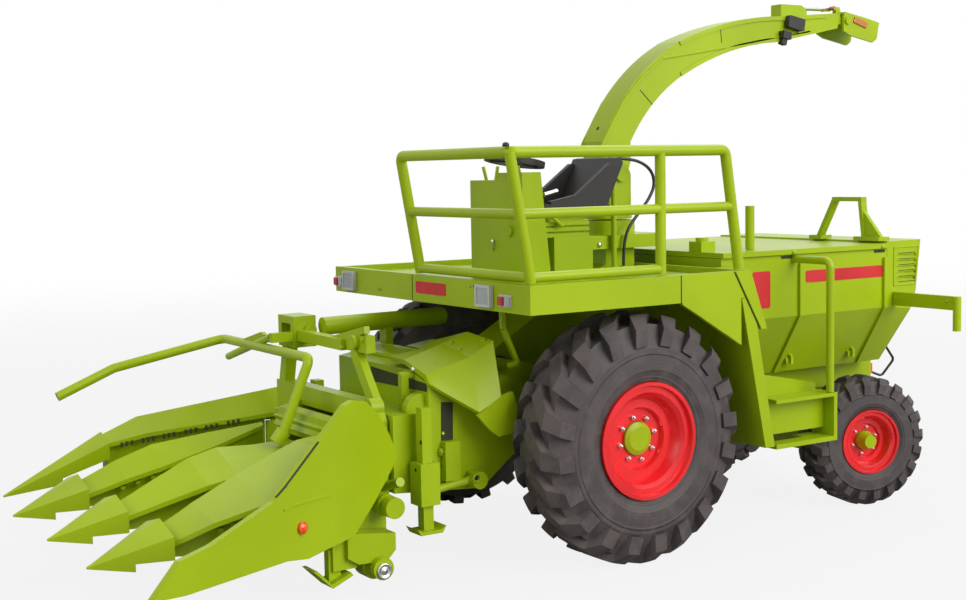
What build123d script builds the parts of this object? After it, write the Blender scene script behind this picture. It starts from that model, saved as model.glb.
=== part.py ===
from build123d import *
import math
import os

os.makedirs("parts", exist_ok=True)

# Scale model of a self-propelled forage harvester with a four-row maize header, 1:32.
# Machine frame: X to the machine's left, Y to the rear, Z up, millimetres.
# X = 0 is the middle plane, Y = 0 the front axle, Z = 0 the ground.

# general clearances and sheet
FIT = 0.05          # running fit on a pin, radial
SEAT = 0.1          # between pieces of one body that are pushed together
GAP = 0.3           # between pieces that move past each other
SHEET = 0.9         # pressed sheet of hoods and guards

# front wheels
F_RAD = 24.9        # over the lugs
F_WID = 14.8
F_OUT = 40.2        # outer face of the tyre
F_LUG = 1.9         # lug height
F_RIM = 11.7        # rim flange radius
F_DISH = 4.4        # disc set back from the flange
F_HUB = 3.3

# rear wheels
R_RAD = 14.8
R_WID = 9.6
R_LUG = 1.0
R_RIM = 7.4
R_DISH = 3.2
R_HUB = 2.2
R_AXLE_Y = 75.7     # rear axle, straight ahead
KING_X = 18.6       # kingpins
KING_R = 1.0
R_OFF = 8.0         # kingpin to the wheel's middle plane
STEER = -14.3       # parked steering angle about +Z
LUG_COUNT = 20      # lugs in each half of a tread

# driver's platform, clear of the front tyres
PL_X0 = -38.0
PL_X1 = 40.3
PL_Y0 = -F_RAD - 3.6
PL_Y1 = F_RAD + 1.1
PL_Z0 = 2 * F_RAD + 1.9
PL_Z1 = PL_Z0 + 5.6
PL_WALL = 1.6       # skirt thickness
PL_FLOOR = 1.4      # floor thickness
PL_SINK = 1.3       # floor below the rim

# railing
TUBE = 2.2
RAIL_TOP = PL_Z1 + 25.55
RAIL_MID = PL_Z1 + 13.1
RAIL_LOW = PL_Z1 + 1.2
RAIL_FRONT = PL_Y0 - 4.4    # top bar, leaning forward
RAIL_FOOT = PL_Y0 + 0.1
RAIL_SIDE_X = 38.9
RAIL_FAR_X = -2.4
RAIL_MID_Y = 3.7
RAIL_BACK_TOP_Y = PL_Y1 - 5.6
RAIL_BACK_LOW_Y = PL_Y1 - 1.7

# engine box
BOX_X = 28.3
BOX_Y0 = PL_Y1 + 3.0
BOX_Y1 = R_AXLE_Y + 4.3
BOX_Z1 = PL_Z1 + 1.6        # under the lid
BOX_KINK_Z = PL_Z1 - 12.0   # sides slope in below this
BOX_LOW_X = 20.0
LID_T = 1.2
LID_LIP = 0.7
HOOD_TOP_Z = PL_Z1 + 3.2
STEP_Y0 = F_RAD + 8.8       # steps behind the front wheel
STEP_X = 40.0               # outer edge of the treads
HANDLE_Y = STEP_Y0 + 16.6   # grab handle beside the steps

# chassis
RAIL_X = 14.5       # outer face of the rails
RAIL_W = 3.5
RAIL_Z0 = F_RAD + 0.8
RAIL_Z1 = RAIL_Z0 + 5.5
RAIL_Y0 = 6.0
RAIL_Y1 = BOX_Y1 + 10.0
BOX_LOW_Z = RAIL_Z1 + 0.5
AXLE_R = 3.6
SPINDLE_R = 1.1

# spout
SW_Y = PL_Y1 - 5.5  # swivel axis
SPOUT_W = 7.3
SPOUT_WALL = 0.8
COLLAR_R = 6.2
DUCT_X = 5.4        # half width of the blower duct
DUCT_REAR = 3.4     # duct behind the swivel axis
COLLAR_Z0 = PL_Z1 + 6.7
COLLAR_Z1 = COLLAR_Z0 + 4.0
PIVOT_Z = COLLAR_Z1 + 9.2   # lifting pivot of the boom
PIVOT_R = 1.0
SPOUT_END_Y = 103.3
FLAP_Y = SPOUT_END_Y - 11.3     # pivot of the end flap
FLAP_Z = PIVOT_Z + 36.4
HOSE_D = 0.7

# header
H_X = -5.6          # middle of the header
ROW = 23.4          # row spacing, 75 cm at 1:32
LIFT_Y = -15.0      # drum axis, the header's lifting pivot
LIFT_Z = F_RAD + 5.1
DRUM_R = 9.5
DRUM_X = 17.0
TRUN_R = 2.6        # trunnion of the drum housing
CHEEK_T = 1.5       # cheek plates of the intake
THROAT_X = 14.0     # half width of the crop window
THROAT_Z0 = 18.4
THROAT_Z1 = 30.6
JACK_X = 21.6       # parking jack beside the intake
JACK_Y = -40.8

# origin: middle of the overall box, on the ground
ARM_X = 47.2        # lamp arm's end
TIP_Y = -105.7      # middle tips
FAR_SIDE = 1.4      # far divider, outer side beyond its ridge
FAR_X = H_X - 2 * ROW - FAR_SIDE
MID_X = (ARM_X + FAR_X) / 2
MID_Y = (TIP_Y + SPOUT_END_Y) / 2


def block(x0, x1, y0, y1, z0, z1, mode=Mode.ADD):
    """Rectangular block between two corners."""
    with Locations(((x0 + x1) / 2, (y0 + y1) / 2, (z0 + z1) / 2)):
        Box(abs(x1 - x0), abs(y1 - y0), abs(z1 - z0), mode=mode)


def plate_x(points, x0, x1, mode=Mode.ADD):
    """Outline of (y, z) points, extruded from x0 to x1."""
    with BuildSketch(Plane.YZ.offset(x0)) as sk:
        with BuildLine():
            Polyline(*points, close=True)
        make_face()
    extrude(sk.sketch, amount=x1 - x0, mode=mode)


def plate_y(points, y0, y1, mode=Mode.ADD):
    """Outline of (x, z) points, extruded from y1 forward to y0."""
    with BuildSketch(Plane(origin=(0, y1, 0), x_dir=(1, 0, 0), z_dir=(0, -1, 0))) as sk:
        with BuildLine():
            Polyline(*points, close=True)
        make_face()
    extrude(sk.sketch, amount=y1 - y0, mode=mode)


def plate_z(points, z0, z1, mode=Mode.ADD):
    """Outline of (x, y) points, extruded from z0 up to z1."""
    with BuildSketch(Plane.XY.offset(z0)) as sk:
        with BuildLine():
            Polyline(*points, close=True)
        make_face()
    extrude(sk.sketch, amount=z1 - z0, mode=mode)


def rod(a, b, r, mode=Mode.ADD):
    """Round rod of radius r from point a to point b."""
    a, b = Vector(*a), Vector(*b)
    with BuildSketch(Plane(origin=a, z_dir=b - a)) as sk:
        Circle(r)
    extrude(sk.sketch, amount=(b - a).length, mode=mode)


def bar(a, b, w, h, side=(1, 0, 0), mode=Mode.ADD):
    """Rectangular bar from a to b, w wide along side, h the other way."""
    a, b = Vector(*a), Vector(*b)
    axis = (b - a).normalized()
    s = Vector(*side)
    s = (s - axis * s.dot(axis)).normalized()
    with BuildSketch(Plane(origin=a, x_dir=s, z_dir=axis)) as sk:
        Rectangle(w, h)
    extrude(sk.sketch, amount=(b - a).length, mode=mode)


def pipe(points, r, bends):
    """Round tube along a path of straight runs joined by arcs."""
    with BuildLine() as path:
        FilletPolyline(*points, radius=bends)
    start = path.line ^ 0
    with BuildSketch(Plane(origin=start.position, z_dir=path.line % 0)) as sk:
        Circle(r)
    sweep(sk.sketch, path=path.line)


def section_loft(sections, mode=Mode.ADD):
    """Ruled loft through outlines, each a plane of y and its (x, z) points."""
    faces = []
    for y, points in sections:
        with BuildSketch(Plane(origin=(0, y, 0), x_dir=(1, 0, 0), z_dir=(0, -1, 0))) as sk:
            with BuildLine():
                Polyline(*points, close=True)
            make_face()
        faces.append(sk.sketch.faces()[0])
    loft(faces, ruled=True, mode=mode)


def turned(points, plane, mode=Mode.ADD):
    """Solid of revolution about plane's normal, from (radius, distance) points."""
    with BuildSketch(Plane(origin=plane.origin, x_dir=plane.x_dir, z_dir=-plane.y_dir)) as sk:
        with BuildLine():
            Polyline(*points, close=True)
        make_face()
    revolve(sk.sketch, axis=Axis(plane.origin, plane.z_dir), mode=mode)


def save(part, name):
    """Label the piece, move it to the origin under the middle and write it."""
    done = part.moved(Location((-MID_X, -MID_Y, 0)))
    done.label = name
    export_step(done, f"parts/{name}.step")


# wheels
def wheel_plane(side, front):
    """Plane at the middle of a wheel, its normal pointing out of the machine."""
    if front:
        return Plane(origin=(side * (F_OUT - F_WID / 2), 0, F_RAD),
                     x_dir=(0, 1, 0), z_dir=(side, 0, 0))
    a = math.radians(STEER)
    out = (side * math.cos(a), side * math.sin(a), 0)
    fore = (-side * math.sin(a), side * math.cos(a), 0)
    return Plane(origin=(side * KING_X + R_OFF * out[0], R_AXLE_Y + R_OFF * out[1], R_RAD),
                 x_dir=fore, z_dir=out)


def make_tyre(plane, rad, wid, lug, rim):
    """Tyre with two staggered rows of slanted lugs, blocky where they reach the sidewall."""
    h = wid / 2
    carcass = rad - lug
    with BuildPart() as ring:
        turned([(rim + SEAT, h * 0.84), (rim + 0.10 * rad, h * 0.97), (0.74 * rad, h * 0.95),
                (carcass, h * 0.66), (carcass, -h * 0.66), (0.74 * rad, -h * 0.95),
                (rim + 0.10 * rad, -h * 0.97), (rim + SEAT, -h * 0.84)], plane)
    pitch = 2 * math.pi * rad / LUG_COUNT
    wide = 0.34 * pitch
    with BuildPart() as pair:
        for s in (1, -1):
            turn = 0 if s > 0 else 180 / LUG_COUNT
            at = plane.rotated((0, 0, turn))
            base = Plane(origin=at.origin + at.x_dir * 0.75 * rad, x_dir=at.y_dir, z_dir=at.x_dir)
            with BuildSketch(base) as sk:
                with BuildLine():
                    Polyline((-0.70 * pitch, s * 0.02 * wid), (-0.70 * pitch + wide, -s * 0.07 * wid),
                             (0.04 * pitch + wide, s * 0.30 * wid), (0.15 * pitch + wide, s * 1.1 * h),
                             (0.15 * pitch, s * 1.1 * h), (-0.06 * pitch, s * 0.34 * wid), close=True)
                make_face()
            extrude(sk.sketch, amount=0.3 * rad)
        turned([(0.76 * rad, h), (0.90 * rad, h), (rad, h * 0.62), (rad, -h * 0.62),
                (0.90 * rad, -h), (0.76 * rad, -h)], plane, mode=Mode.INTERSECT)
    with BuildPart() as tyre:
        add(ring.part)
        add([pair.part.rotate(Axis(plane.origin, plane.z_dir), 360 * i / LUG_COUNT)
             for i in range(int(LUG_COUNT))])
    return tyre.part


def make_rim(plane, wid, rim, dish, hub):
    """Rim: two flanges, stepped dish and a disc with a hub hole."""
    h = wid / 2
    edge = h - 0.5
    face = edge - dish
    with BuildPart() as part:
        turned([(hub + SEAT, face), (0.50 * rim, face), (0.54 * rim, face + 0.09 * rim),
                (0.68 * rim, face + 0.09 * rim), (0.76 * rim, edge - 0.13 * rim),
                (0.82 * rim, edge - 0.07 * rim), (0.92 * rim, edge - 0.07 * rim), (0.94 * rim, edge),
                (rim, edge), (rim, -edge), (0.93 * rim, -edge), (0.80 * rim, 0.14 * rim - edge),
                (0.80 * rim, face - 1.4), (hub + SEAT, face - 1.4)], plane)
    return part.part


def make_hub(plane, wid, dish, hub, nose, tip, foot, reach):
    """Turned hub: cap in front, flange behind the disc, bored for the spindle."""
    h = wid / 2
    face = h - 0.5 - dish
    with BuildPart() as part:
        turned([(0, face + nose), (tip, face + nose), (hub, face + foot), (hub, face - 1.4 - SEAT),
                (hub * 1.35, face - 1.4 - SEAT), (hub * 1.35, face - 2.6),
                (hub, face - 2.6), (hub, -reach), (SPINDLE_R + FIT, -reach),
                (SPINDLE_R + FIT, face - 0.6), (0, face - 0.6)], plane)
    return part.part


for side, word in ((1, "left"), (-1, "right")):
    front = wheel_plane(side, True)
    save(make_tyre(front, F_RAD, F_WID, F_LUG, F_RIM), f"tyre_front_{word}")
    save(make_rim(front, F_WID, F_RIM, F_DISH, F_HUB), f"rim_front_{word}")
    save(make_hub(front, F_WID, F_DISH, F_HUB, 1.1, 0.72 * F_HUB, 0.6, F_WID / 2 - 1.0), f"hub_front_{word}")
    rear = wheel_plane(side, False)
    save(make_tyre(rear, R_RAD, R_WID, R_LUG, R_RIM), f"tyre_rear_{word}")
    save(make_rim(rear, R_WID, R_RIM, R_DISH, R_HUB), f"rim_rear_{word}")
    save(make_hub(rear, R_WID, R_DISH, R_HUB, 3.0, 0.68 * R_HUB, 0.7, R_WID / 2 - 0.4), f"hub_rear_{word}")
    # knuckle: kingpin boss between the axle's fork, spindle out into the hub
    out = rear.z_dir
    king = Vector(side * KING_X, R_AXLE_Y, R_RAD)
    with BuildPart() as knuckle:
        rod(king - Vector(0, 0, 3.0), king + Vector(0, 0, 3.0), 2.0)
        rod(king + out * 1.0, king + out * (R_OFF - R_WID / 2 + 0.0), 1.9)
        rod(king + out * 1.0, king + out * (R_OFF + R_WID / 2 - 0.5 - R_DISH - 0.9), SPINDLE_R)
        rod(king - Vector(0, 0, 4.0), king + Vector(0, 0, 4.0), KING_R + FIT, mode=Mode.SUBTRACT)
    save(knuckle.part, f"knuckle_{word}")

# axles and chassis
in_face = F_OUT - F_WID
with BuildPart() as front_axle:
    rod((-in_face + 0.8, 0, F_RAD), (in_face - 0.8, 0, F_RAD), AXLE_R)
    block(-RAIL_X, RAIL_X, -5.0, RAIL_Y0, F_RAD - 5.5, RAIL_Z1)
    for s in (1, -1):
        rod((s * (in_face - 5.8), 0, F_RAD), (s * (in_face - 0.8), 0, F_RAD), 0.5 * F_RIM)
    reach = F_OUT - 0.5 - F_DISH - 0.9
    rod((-reach, 0, F_RAD), (reach, 0, F_RAD), SPINDLE_R)
save(front_axle.part, "front_axle")

with BuildPart() as chassis:
    for s in (1, -1):
        block(s * (RAIL_X - RAIL_W), s * RAIL_X, RAIL_Y0 + SEAT, RAIL_Y1, RAIL_Z0, RAIL_Z1)
    for y in (12.0, 42.0, RAIL_Y1 - 3.5):
        block(-RAIL_X, RAIL_X, y, y + 3.5, RAIL_Z0 + 1.0, RAIL_Z1 - 1.0)
    # arms carrying the steps
    for y in (STEP_Y0 + 2.0, STEP_Y0 + 13.0):
        block(RAIL_X - 1.0, STEP_X - 6.6, y, y + 2.0, RAIL_Z1 - 2.6, RAIL_Z1 - 1.5)
    # posts carrying the platform
    for s in (1, -1):
        block(s * (RAIL_X - RAIL_W), s * RAIL_X, 8.0, 11.5, RAIL_Z1 - 1.0, PL_Z0 - 2.6)
        block(s * (DUCT_X + GAP), s * 24.0, 8.0, 11.5, PL_Z0 - 2.6, PL_Z0 - SEAT)
    # rear drawbar bracket with its pin hole
    block(-5.0, 5.0, RAIL_Y1, RAIL_Y1 + 2.0, 22.5, RAIL_Z1)
    block(-3.5, 3.5, RAIL_Y1 + 2.0, RAIL_Y1 + 7.0, 23.0, 25.2)
    rod((0, RAIL_Y1 + 4.2, 22.0), (0, RAIL_Y1 + 4.2, 26.0), 1.5, mode=Mode.SUBTRACT)
save(chassis.part, "chassis")

with BuildPart() as rear_axle:
    block(-KING_X - 2.6, KING_X + 2.6, R_AXLE_Y - 2.2, R_AXLE_Y + 2.2, R_RAD + 3.3, R_RAD + 5.6)
    block(-KING_X - 2.6, KING_X + 2.6, R_AXLE_Y - 2.2, R_AXLE_Y + 2.2, R_RAD - 5.2, R_RAD - 3.3)
    block(-KING_X + 3.4, KING_X - 3.4, R_AXLE_Y - 2.2, R_AXLE_Y + 2.2, R_RAD - 3.3, R_RAD + 3.3)
    block(-9.0, 9.0, R_AXLE_Y - 2.2, R_AXLE_Y + 2.2, R_RAD + 5.6, RAIL_Z0 + 1.0)
    for s in (1, -1):
        block(s * (RAIL_X - RAIL_W + SEAT), s * 9.0, R_AXLE_Y - 2.2, R_AXLE_Y + 2.2,
              R_RAD + 5.6, RAIL_Z0 - SEAT)
        rod((s * KING_X, R_AXLE_Y, R_RAD - 5.2), (s * KING_X, R_AXLE_Y, R_RAD + 5.6), KING_R)
save(rear_axle.part, "rear_axle")

# chopper and intake
with BuildPart() as drum:
    rod((-DRUM_X, LIFT_Y, LIFT_Z), (DRUM_X, LIFT_Y, LIFT_Z), DRUM_R)
    block(-DRUM_X, DRUM_X, LIFT_Y, -5.0 - SEAT, LIFT_Z - DRUM_R, LIFT_Z + 4.0)
    for s in (1, -1):
        rod((s * DRUM_X, LIFT_Y, LIFT_Z), (s * (DRUM_X + 4.6), LIFT_Y, LIFT_Z), TRUN_R)
    # cover plate on top, in front of the duct
    plate_x([(LIFT_Y - 8.0, LIFT_Z + 10.6), (LIFT_Y - 1.4, LIFT_Z + 11.6), (LIFT_Y - 1.4, LIFT_Z + 9.0),
             (LIFT_Y - 5.0, LIFT_Z + 7.6)], -DRUM_X + 1.0, -2.6)
save(drum.part, "chopper_housing")

FLANGE_Z0 = COLLAR_Z0 - 3.0     # under the turret flange
with BuildPart() as duct:
    plate_x([(LIFT_Y - 1.0, LIFT_Z + DRUM_R + 0.4), (LIFT_Y + 3.0, LIFT_Z + DRUM_R),
             (LIFT_Y + 6.5, LIFT_Z + 7.8), (LIFT_Y + 8.8, LIFT_Z + 5.6),
             (LIFT_Y + 14.0, RAIL_Z1 + 5.0), (SW_Y - 4.0, PL_Z0 - 4.7), (SW_Y + DUCT_REAR, PL_Z0 - 1.7),
             (SW_Y + DUCT_REAR, FLANGE_Z0 - SEAT), (SW_Y - 4.6, FLANGE_Z0 - SEAT),
             (SW_Y - 4.6, PL_Z1 + 0.2), (2.0, PL_Z0 - 1.5)], -DUCT_X, DUCT_X)
save(duct.part, "blower_duct")

cheek_in = DRUM_X + GAP
IN_Y0 = -46.0       # front of the intake
TOP_Y0 = -38.0      # front of its raised rear part
top_slope = [(TOP_Y0, LIFT_Z + 9.5), (LIFT_Y - 14.0, LIFT_Z + 11.0)]
front = [(IN_Y0, 17.0), (LIFT_Y - 11.0, 15.5)]
ledge = [(TOP_Y0, THROAT_Z1 + 1.4), (IN_Y0, THROAT_Z1 + 1.4)]
with BuildPart() as intake:
    plate_x(front + [(LIFT_Y - 10.2, LIFT_Z + 10.0)] + top_slope[::-1] + ledge, -cheek_in, cheek_in)
    for s in (1, -1):
        plate_x(front + [(LIFT_Y + 2.0, LIFT_Z - 4.5), (LIFT_Y + 4.0, LIFT_Z), (LIFT_Y + 2.0, LIFT_Z + 4.5),
                         (LIFT_Y - 10.2, LIFT_Z + 10.0)] + top_slope[::-1] + ledge,
                s * cheek_in, s * (cheek_in + CHEEK_T))
    # coupling blocks on the far cheek
    block(-cheek_in - 4.0, -cheek_in - CHEEK_T + 0.2, TOP_Y0 - 5.8, TOP_Y0 - 3.9, 27.8, LIFT_Z + 4.5)
    block(-cheek_in - 5.4, -cheek_in - CHEEK_T + 0.2, TOP_Y0 - 4.9, TOP_Y0 - 1.9, 22.6, 29.4)
    # near cheek: bearing disc, gearbox with its lower link, post on the ledge
    rod((cheek_in - 1.6, TOP_Y0 - 1.2, ledge[0][1] + 0.6), (cheek_in + 0.2, TOP_Y0 - 1.2, ledge[0][1] + 0.6), 3.0)
    block(cheek_in + CHEEK_T - 0.2, cheek_in + CHEEK_T + 1.7, TOP_Y0 + 2.6, TOP_Y0 + 6.0, 18.2, 26.0)
    block(cheek_in + CHEEK_T - 0.2, cheek_in + CHEEK_T + 3.0, TOP_Y0 + 8.2, TOP_Y0 + 10.6, 16.4, 19.4)
    rod((cheek_in + CHEEK_T + 1.4, TOP_Y0 + 9.5, 17.8), (cheek_in + CHEEK_T + 3.4, TOP_Y0 + 9.5, 17.8), 1.7)
    rod((20.2, TOP_Y0 - 0.6, 16.8), (20.2, TOP_Y0 + 9.0, 17.9), 0.8)
    block(12.3, 13.8, TOP_Y0 - 3.0, TOP_Y0 - 1.5, ledge[0][1] - 0.2, LIFT_Z + 9.5)
    block(12.3, 13.8, TOP_Y0 - 3.0, TOP_Y0 + 0.2, LIFT_Z + 8.4, LIFT_Z + 9.5)
    # pivot holes and throat, open to the front
    rod((-40, LIFT_Y, LIFT_Z), (40, LIFT_Y, LIFT_Z), TRUN_R + FIT, mode=Mode.SUBTRACT)
    block(-THROAT_X, THROAT_X, -60.0, -35.0, THROAT_Z0, THROAT_Z1, mode=Mode.SUBTRACT)
    # left shoulder cut back under the guard, recess under the grille
    plate_y([(10.0, LIFT_Z + 20), (10.0, LIFT_Z + 10.1), (20.4, LIFT_Z + 7.0), (20.4, LIFT_Z + 20)],
            -60.0, LIFT_Y - 2.0, mode=Mode.SUBTRACT)
    block(-17.2, 3.0, TOP_Y0 + 4.2, TOP_Y0 + 8.6, LIFT_Z + 8.0, LIFT_Z + 20, mode=Mode.SUBTRACT)
save(intake.part, "intake_housing")

with BuildPart() as grille:
    rise = (top_slope[1][1] - top_slope[0][1]) / (top_slope[1][0] - top_slope[0][0])
    ga, gb = TOP_Y0 + 3.6, TOP_Y0 + 9.0
    za, zb = (top_slope[0][1] + rise * (y - TOP_Y0) + SEAT for y in (ga, gb))
    plate_x([(ga, za), (gb, zb), (gb, zb + 0.7), (ga, za + 0.7)], -17.9, 3.6)
    for i in range(17):
        x = -16.7 + 1.2 * i
        block(x - 0.3, x + 0.3, ga + 0.8, gb - 0.8, za - 1, zb + 2, mode=Mode.SUBTRACT)
save(grille.part, "intake_grille")

# guard over the intake's left shoulder: folded sheet with a rounded lobe at its end
guard_rows = [  # y, then (x, height over the lifting pivot) of the outer side
    (TOP_Y0 - 0.2, [(4.4, 11.5), (10.0, 11.4), (18.2, 9.3), (19.6, 7.6)]),
    (TOP_Y0 + 8.2, [(3.4, 12.6), (11.0, 14.1), (20.8, 12.2), (24.3, 1.8)]),
    (TOP_Y0 + 13.1, [(-2.2, 13.0), (12.5, 16.2), (22.0, 15.2), (24.6, 4.4)]),
]
with BuildPart() as guard:
    section_loft([(y, [(x, LIFT_Z + z) for x, z in row] +
                   [(x - SHEET * (0.95 if i > 1 else 0), LIFT_Z + z - SHEET * (0.5 if i > 2 else 1))
                    for i, (x, z) in reversed(list(enumerate(row)))]) for y, row in guard_rows])
    y0 = TOP_Y0 + 8.2
    plate_x([(y0 - 0.6, LIFT_Z + 1.2), (y0 + 4.9, LIFT_Z + 4.6), (y0 + 7.6, LIFT_Z + 5.2),
             (y0 + 9.2, LIFT_Z + 0.4), (y0 + 8.7, LIFT_Z - 2.0), (y0 + 7.0, LIFT_Z - 3.2),
             (y0 + 4.2, LIFT_Z - 3.4), (y0 + 2.2, LIFT_Z - 1.9)], 24.6 - SHEET, 24.6)
save(guard.part, "intake_guard")

# platform, fenders, steps
floor_z = PL_Z1 - PL_SINK
HOSE_X = 8.8        # plane of the hose loop
HOSE_Y = SW_Y - 4.1
HOSE_Z = PIVOT_Z + 3.4
HOSE_Z1 = floor_z + 1.2
with BuildPart() as platform:
    block(PL_X0, PL_X1, PL_Y0, PL_Y1, PL_Z0, PL_Z1)
    block(PL_X0 + PL_WALL, PL_X1 - PL_WALL, PL_Y0 + PL_WALL, PL_Y1 - PL_WALL, floor_z, PL_Z1 + 1,
          mode=Mode.SUBTRACT)
    block(PL_X0 + PL_WALL, PL_X1 - PL_WALL, PL_Y0 + PL_WALL, PL_Y1 + 1, PL_Z0 - 1,
          floor_z - PL_FLOOR, mode=Mode.SUBTRACT)
    block(-DUCT_X - GAP, DUCT_X + GAP, 0.0, SW_Y + DUCT_REAR + GAP, PL_Z0 - 1, PL_Z1 + 1,
          mode=Mode.SUBTRACT)
    # side panels over the tyres, running down behind them
    for x in (PL_X1, 1 - PL_X1):
        plate_x([(PL_Y1 - 18.0, PL_Z0 + 0.6), (PL_Y1 - 18.0, PL_Z0 - 0.3), (PL_Y1 - 13.2, PL_Z0 - 3.1),
                 (PL_Y1 - 2.4, PL_Z0 - 9.6), (PL_Y1 - 2.4, PL_Z0 + 0.6)], x - 1.0, x)
    block(1 - PL_X1 - 1.0, PL_X0 + 1.0, PL_Y1 - 18.0, PL_Y1, PL_Z0, PL_Z0 + 1.0)
    # upright and gland of the hose
    rod((HOSE_X, HOSE_Y - 0.8, floor_z - 0.2), (HOSE_X, HOSE_Y - 0.8, HOSE_Z + 0.2), 0.6)
    block(HOSE_X - 0.8, HOSE_X + 0.8, HOSE_Y - 1.6, HOSE_Y, HOSE_Z - 0.8, HOSE_Z + 0.8)
    rod((HOSE_X, HOSE_Y + 1.8, floor_z - 0.2), (HOSE_X, HOSE_Y + 1.8, HOSE_Z1), 0.8)
    # curved bracket under the deck, beside the guard
    for (ya, a), (yb, b) in (((-21.6, -3.2), (-21.2, 4.6)), ((-21.2, 4.6), (-18.0, 11.6)), ((-18.0, 11.6), (-20.6, 12.0))):
        bar((20.0, ya, PL_Z0 - a), (20.0, yb, PL_Z0 - b), 1.0, 0.9)
save(platform.part, "platform")

with BuildPart() as railing:
    t = TUBE / 2
    lean = (RAIL_FRONT - RAIL_FOOT) / (RAIL_TOP - PL_Z1)

    def front_y(z):
        return RAIL_FOOT + t + lean * (z - PL_Z1)

    def back_y(z):
        return RAIL_BACK_LOW_Y + (RAIL_BACK_TOP_Y - RAIL_BACK_LOW_Y) * (z - PL_Z1) / (RAIL_TOP - PL_Z1)

    low, high = PL_Z1 + 0.35, RAIL_TOP - t
    near, far = RAIL_SIDE_X, RAIL_FAR_X + t
    post = 0.95 * t
    pipe([(far, front_y(low), low), (far, front_y(high), high), (near, front_y(high), high),
          (near, back_y(high), high), (near, back_y(low), low)], t, 1.4)
    rod((near, front_y(low), low), (near, front_y(high), high), post)
    rod((near, RAIL_MID_Y, low), (near, RAIL_MID_Y, high), post)
    for z in (RAIL_LOW + SEAT, RAIL_MID):
        rod((far, front_y(z), z), (near, front_y(z), z), 0.88 * t)
        rod((near, front_y(z), z), (near, back_y(z) if z == RAIL_MID else RAIL_MID_Y, z), 0.88 * t)
save(railing.part, "railing")

for side, word in ((1, "left"), (-1, "right")):
    top, low = (PL_Y1 - 2.2, PL_Z0 - SEAT), (F_RAD + 5.4, F_RAD - 4.9)
    with BuildPart() as fender:
        # slanted edge strip and the sheet behind the wheel
        plate_x([top, (top[0] + 3.0, top[1]), (low[0] + 2.6, low[1]), low], side * (PL_X1 - 1.0), side * PL_X1)
        plate_x([top, (top[0] + 1.0, top[1]), (low[0] + 1.0, low[1]), low], side * (BOX_X + 0.2),
                side * (PL_X1 - 0.9))
        # side wall from the strip to the engine box
        z = F_RAD + 15.0
        y = top[0] + (low[0] - top[0]) * (top[1] - z) / (top[1] - low[1])
        plate_x([(top[0] + 0.4, top[1]), (PL_Y1 + SEAT, top[1]), (PL_Y1 + SEAT, PL_Z1), (BOX_Y0 + 1.6, PL_Z1),
                 (BOX_Y0 + 2.4, z), (y + 0.4, z)], side * (BOX_X + 0.8), side * (BOX_X + 1.7))
    save(fender.part, f"fender_{word}")

TREAD_Z = RAIL_Z1 - 1.6     # top of the upper tread
FOOT_Z = TREAD_Z - 9.4      # top of the lower tread
STEP_Y1 = HANDLE_Y + 0.3
with BuildPart() as steps:
    block(STEP_X - 6.4, STEP_X, STEP_Y0, STEP_Y1 + 0.2, TREAD_Z - 0.8, TREAD_Z)
    plate_x([(STEP_Y0, TREAD_Z - 0.8), (STEP_Y1, TREAD_Z - 0.8), (STEP_Y1, TREAD_Z + 1.6),
             (STEP_Y0, TREAD_Z + 5.0)], STEP_X - 6.4, STEP_X - 5.6)
    block(STEP_X - 3.8, STEP_X - 3.0, STEP_Y0, STEP_Y1 + 0.2, FOOT_Z + 1.6, TREAD_Z - 0.4)
    block(STEP_X - 6.4, STEP_X, STEP_Y1, STEP_Y1 + 1.0, FOOT_Z - 1.0, TREAD_Z)
    block(STEP_X - 3.4, STEP_X, STEP_Y0, STEP_Y1 + 0.2, FOOT_Z - 1.0, FOOT_Z)
    block(STEP_X - 6.4, STEP_X - 3.0, STEP_Y0 + 11.0, STEP_Y1 + 0.2, FOOT_Z - 1.0, FOOT_Z)
save(steps.part, "steps")

with BuildPart() as handle:
    hx, hz = STEP_X - 0.9, BOX_Z1 - 1.0
    pipe([(hx, HANDLE_Y, TREAD_Z + SEAT), (hx, HANDLE_Y, hz), (BOX_X + 0.1, HANDLE_Y, hz)], 0.85, 1.6)
save(handle.part, "grab_handle")

# engine box, lid, rear hood
body = [(-BOX_X, BOX_Z1), (BOX_X, BOX_Z1), (BOX_X, BOX_KINK_Z), (BOX_LOW_X, BOX_LOW_Z),
        (-BOX_LOW_X, BOX_LOW_Z), (-BOX_X, BOX_KINK_Z)]
with BuildPart() as box:
    plate_y(body, BOX_Y0, BOX_Y1 - SEAT)
    for y in (BOX_Y0 + 22.6, BOX_Y1 - 1.5):
        plate_y([(-BOX_X - 0.7, BOX_Z1 - 2), (BOX_X + 0.7, BOX_Z1 - 2), (BOX_X + 0.7, BOX_KINK_Z),
                 (BOX_LOW_X + 0.7, BOX_LOW_Z), (-BOX_LOW_X - 0.7, BOX_LOW_Z),
                 (-BOX_X - 0.7, BOX_KINK_Z)], y, y + 1.2)
save(box.part, "engine_box")

with BuildPart() as lid:
    block(-BOX_X - LID_LIP, BOX_X + LID_LIP, BOX_Y0, BOX_Y1 - SEAT, BOX_Z1 + SEAT, BOX_Z1 + LID_T)
    # filler box at the front edge
    block(17.6, 21.6, BOX_Y0 + 0.4, BOX_Y0 + 4.4, BOX_Z1 + LID_T - 0.2, BOX_Z1 + LID_T + 2.2)
    rod((19.6, BOX_Y0 + 2.4, BOX_Z1 + LID_T + 2.0), (19.6, BOX_Y0 + 2.4, BOX_Z1 + LID_T + 3.0), 1.4)
save(lid.part, "engine_lid")

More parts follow.
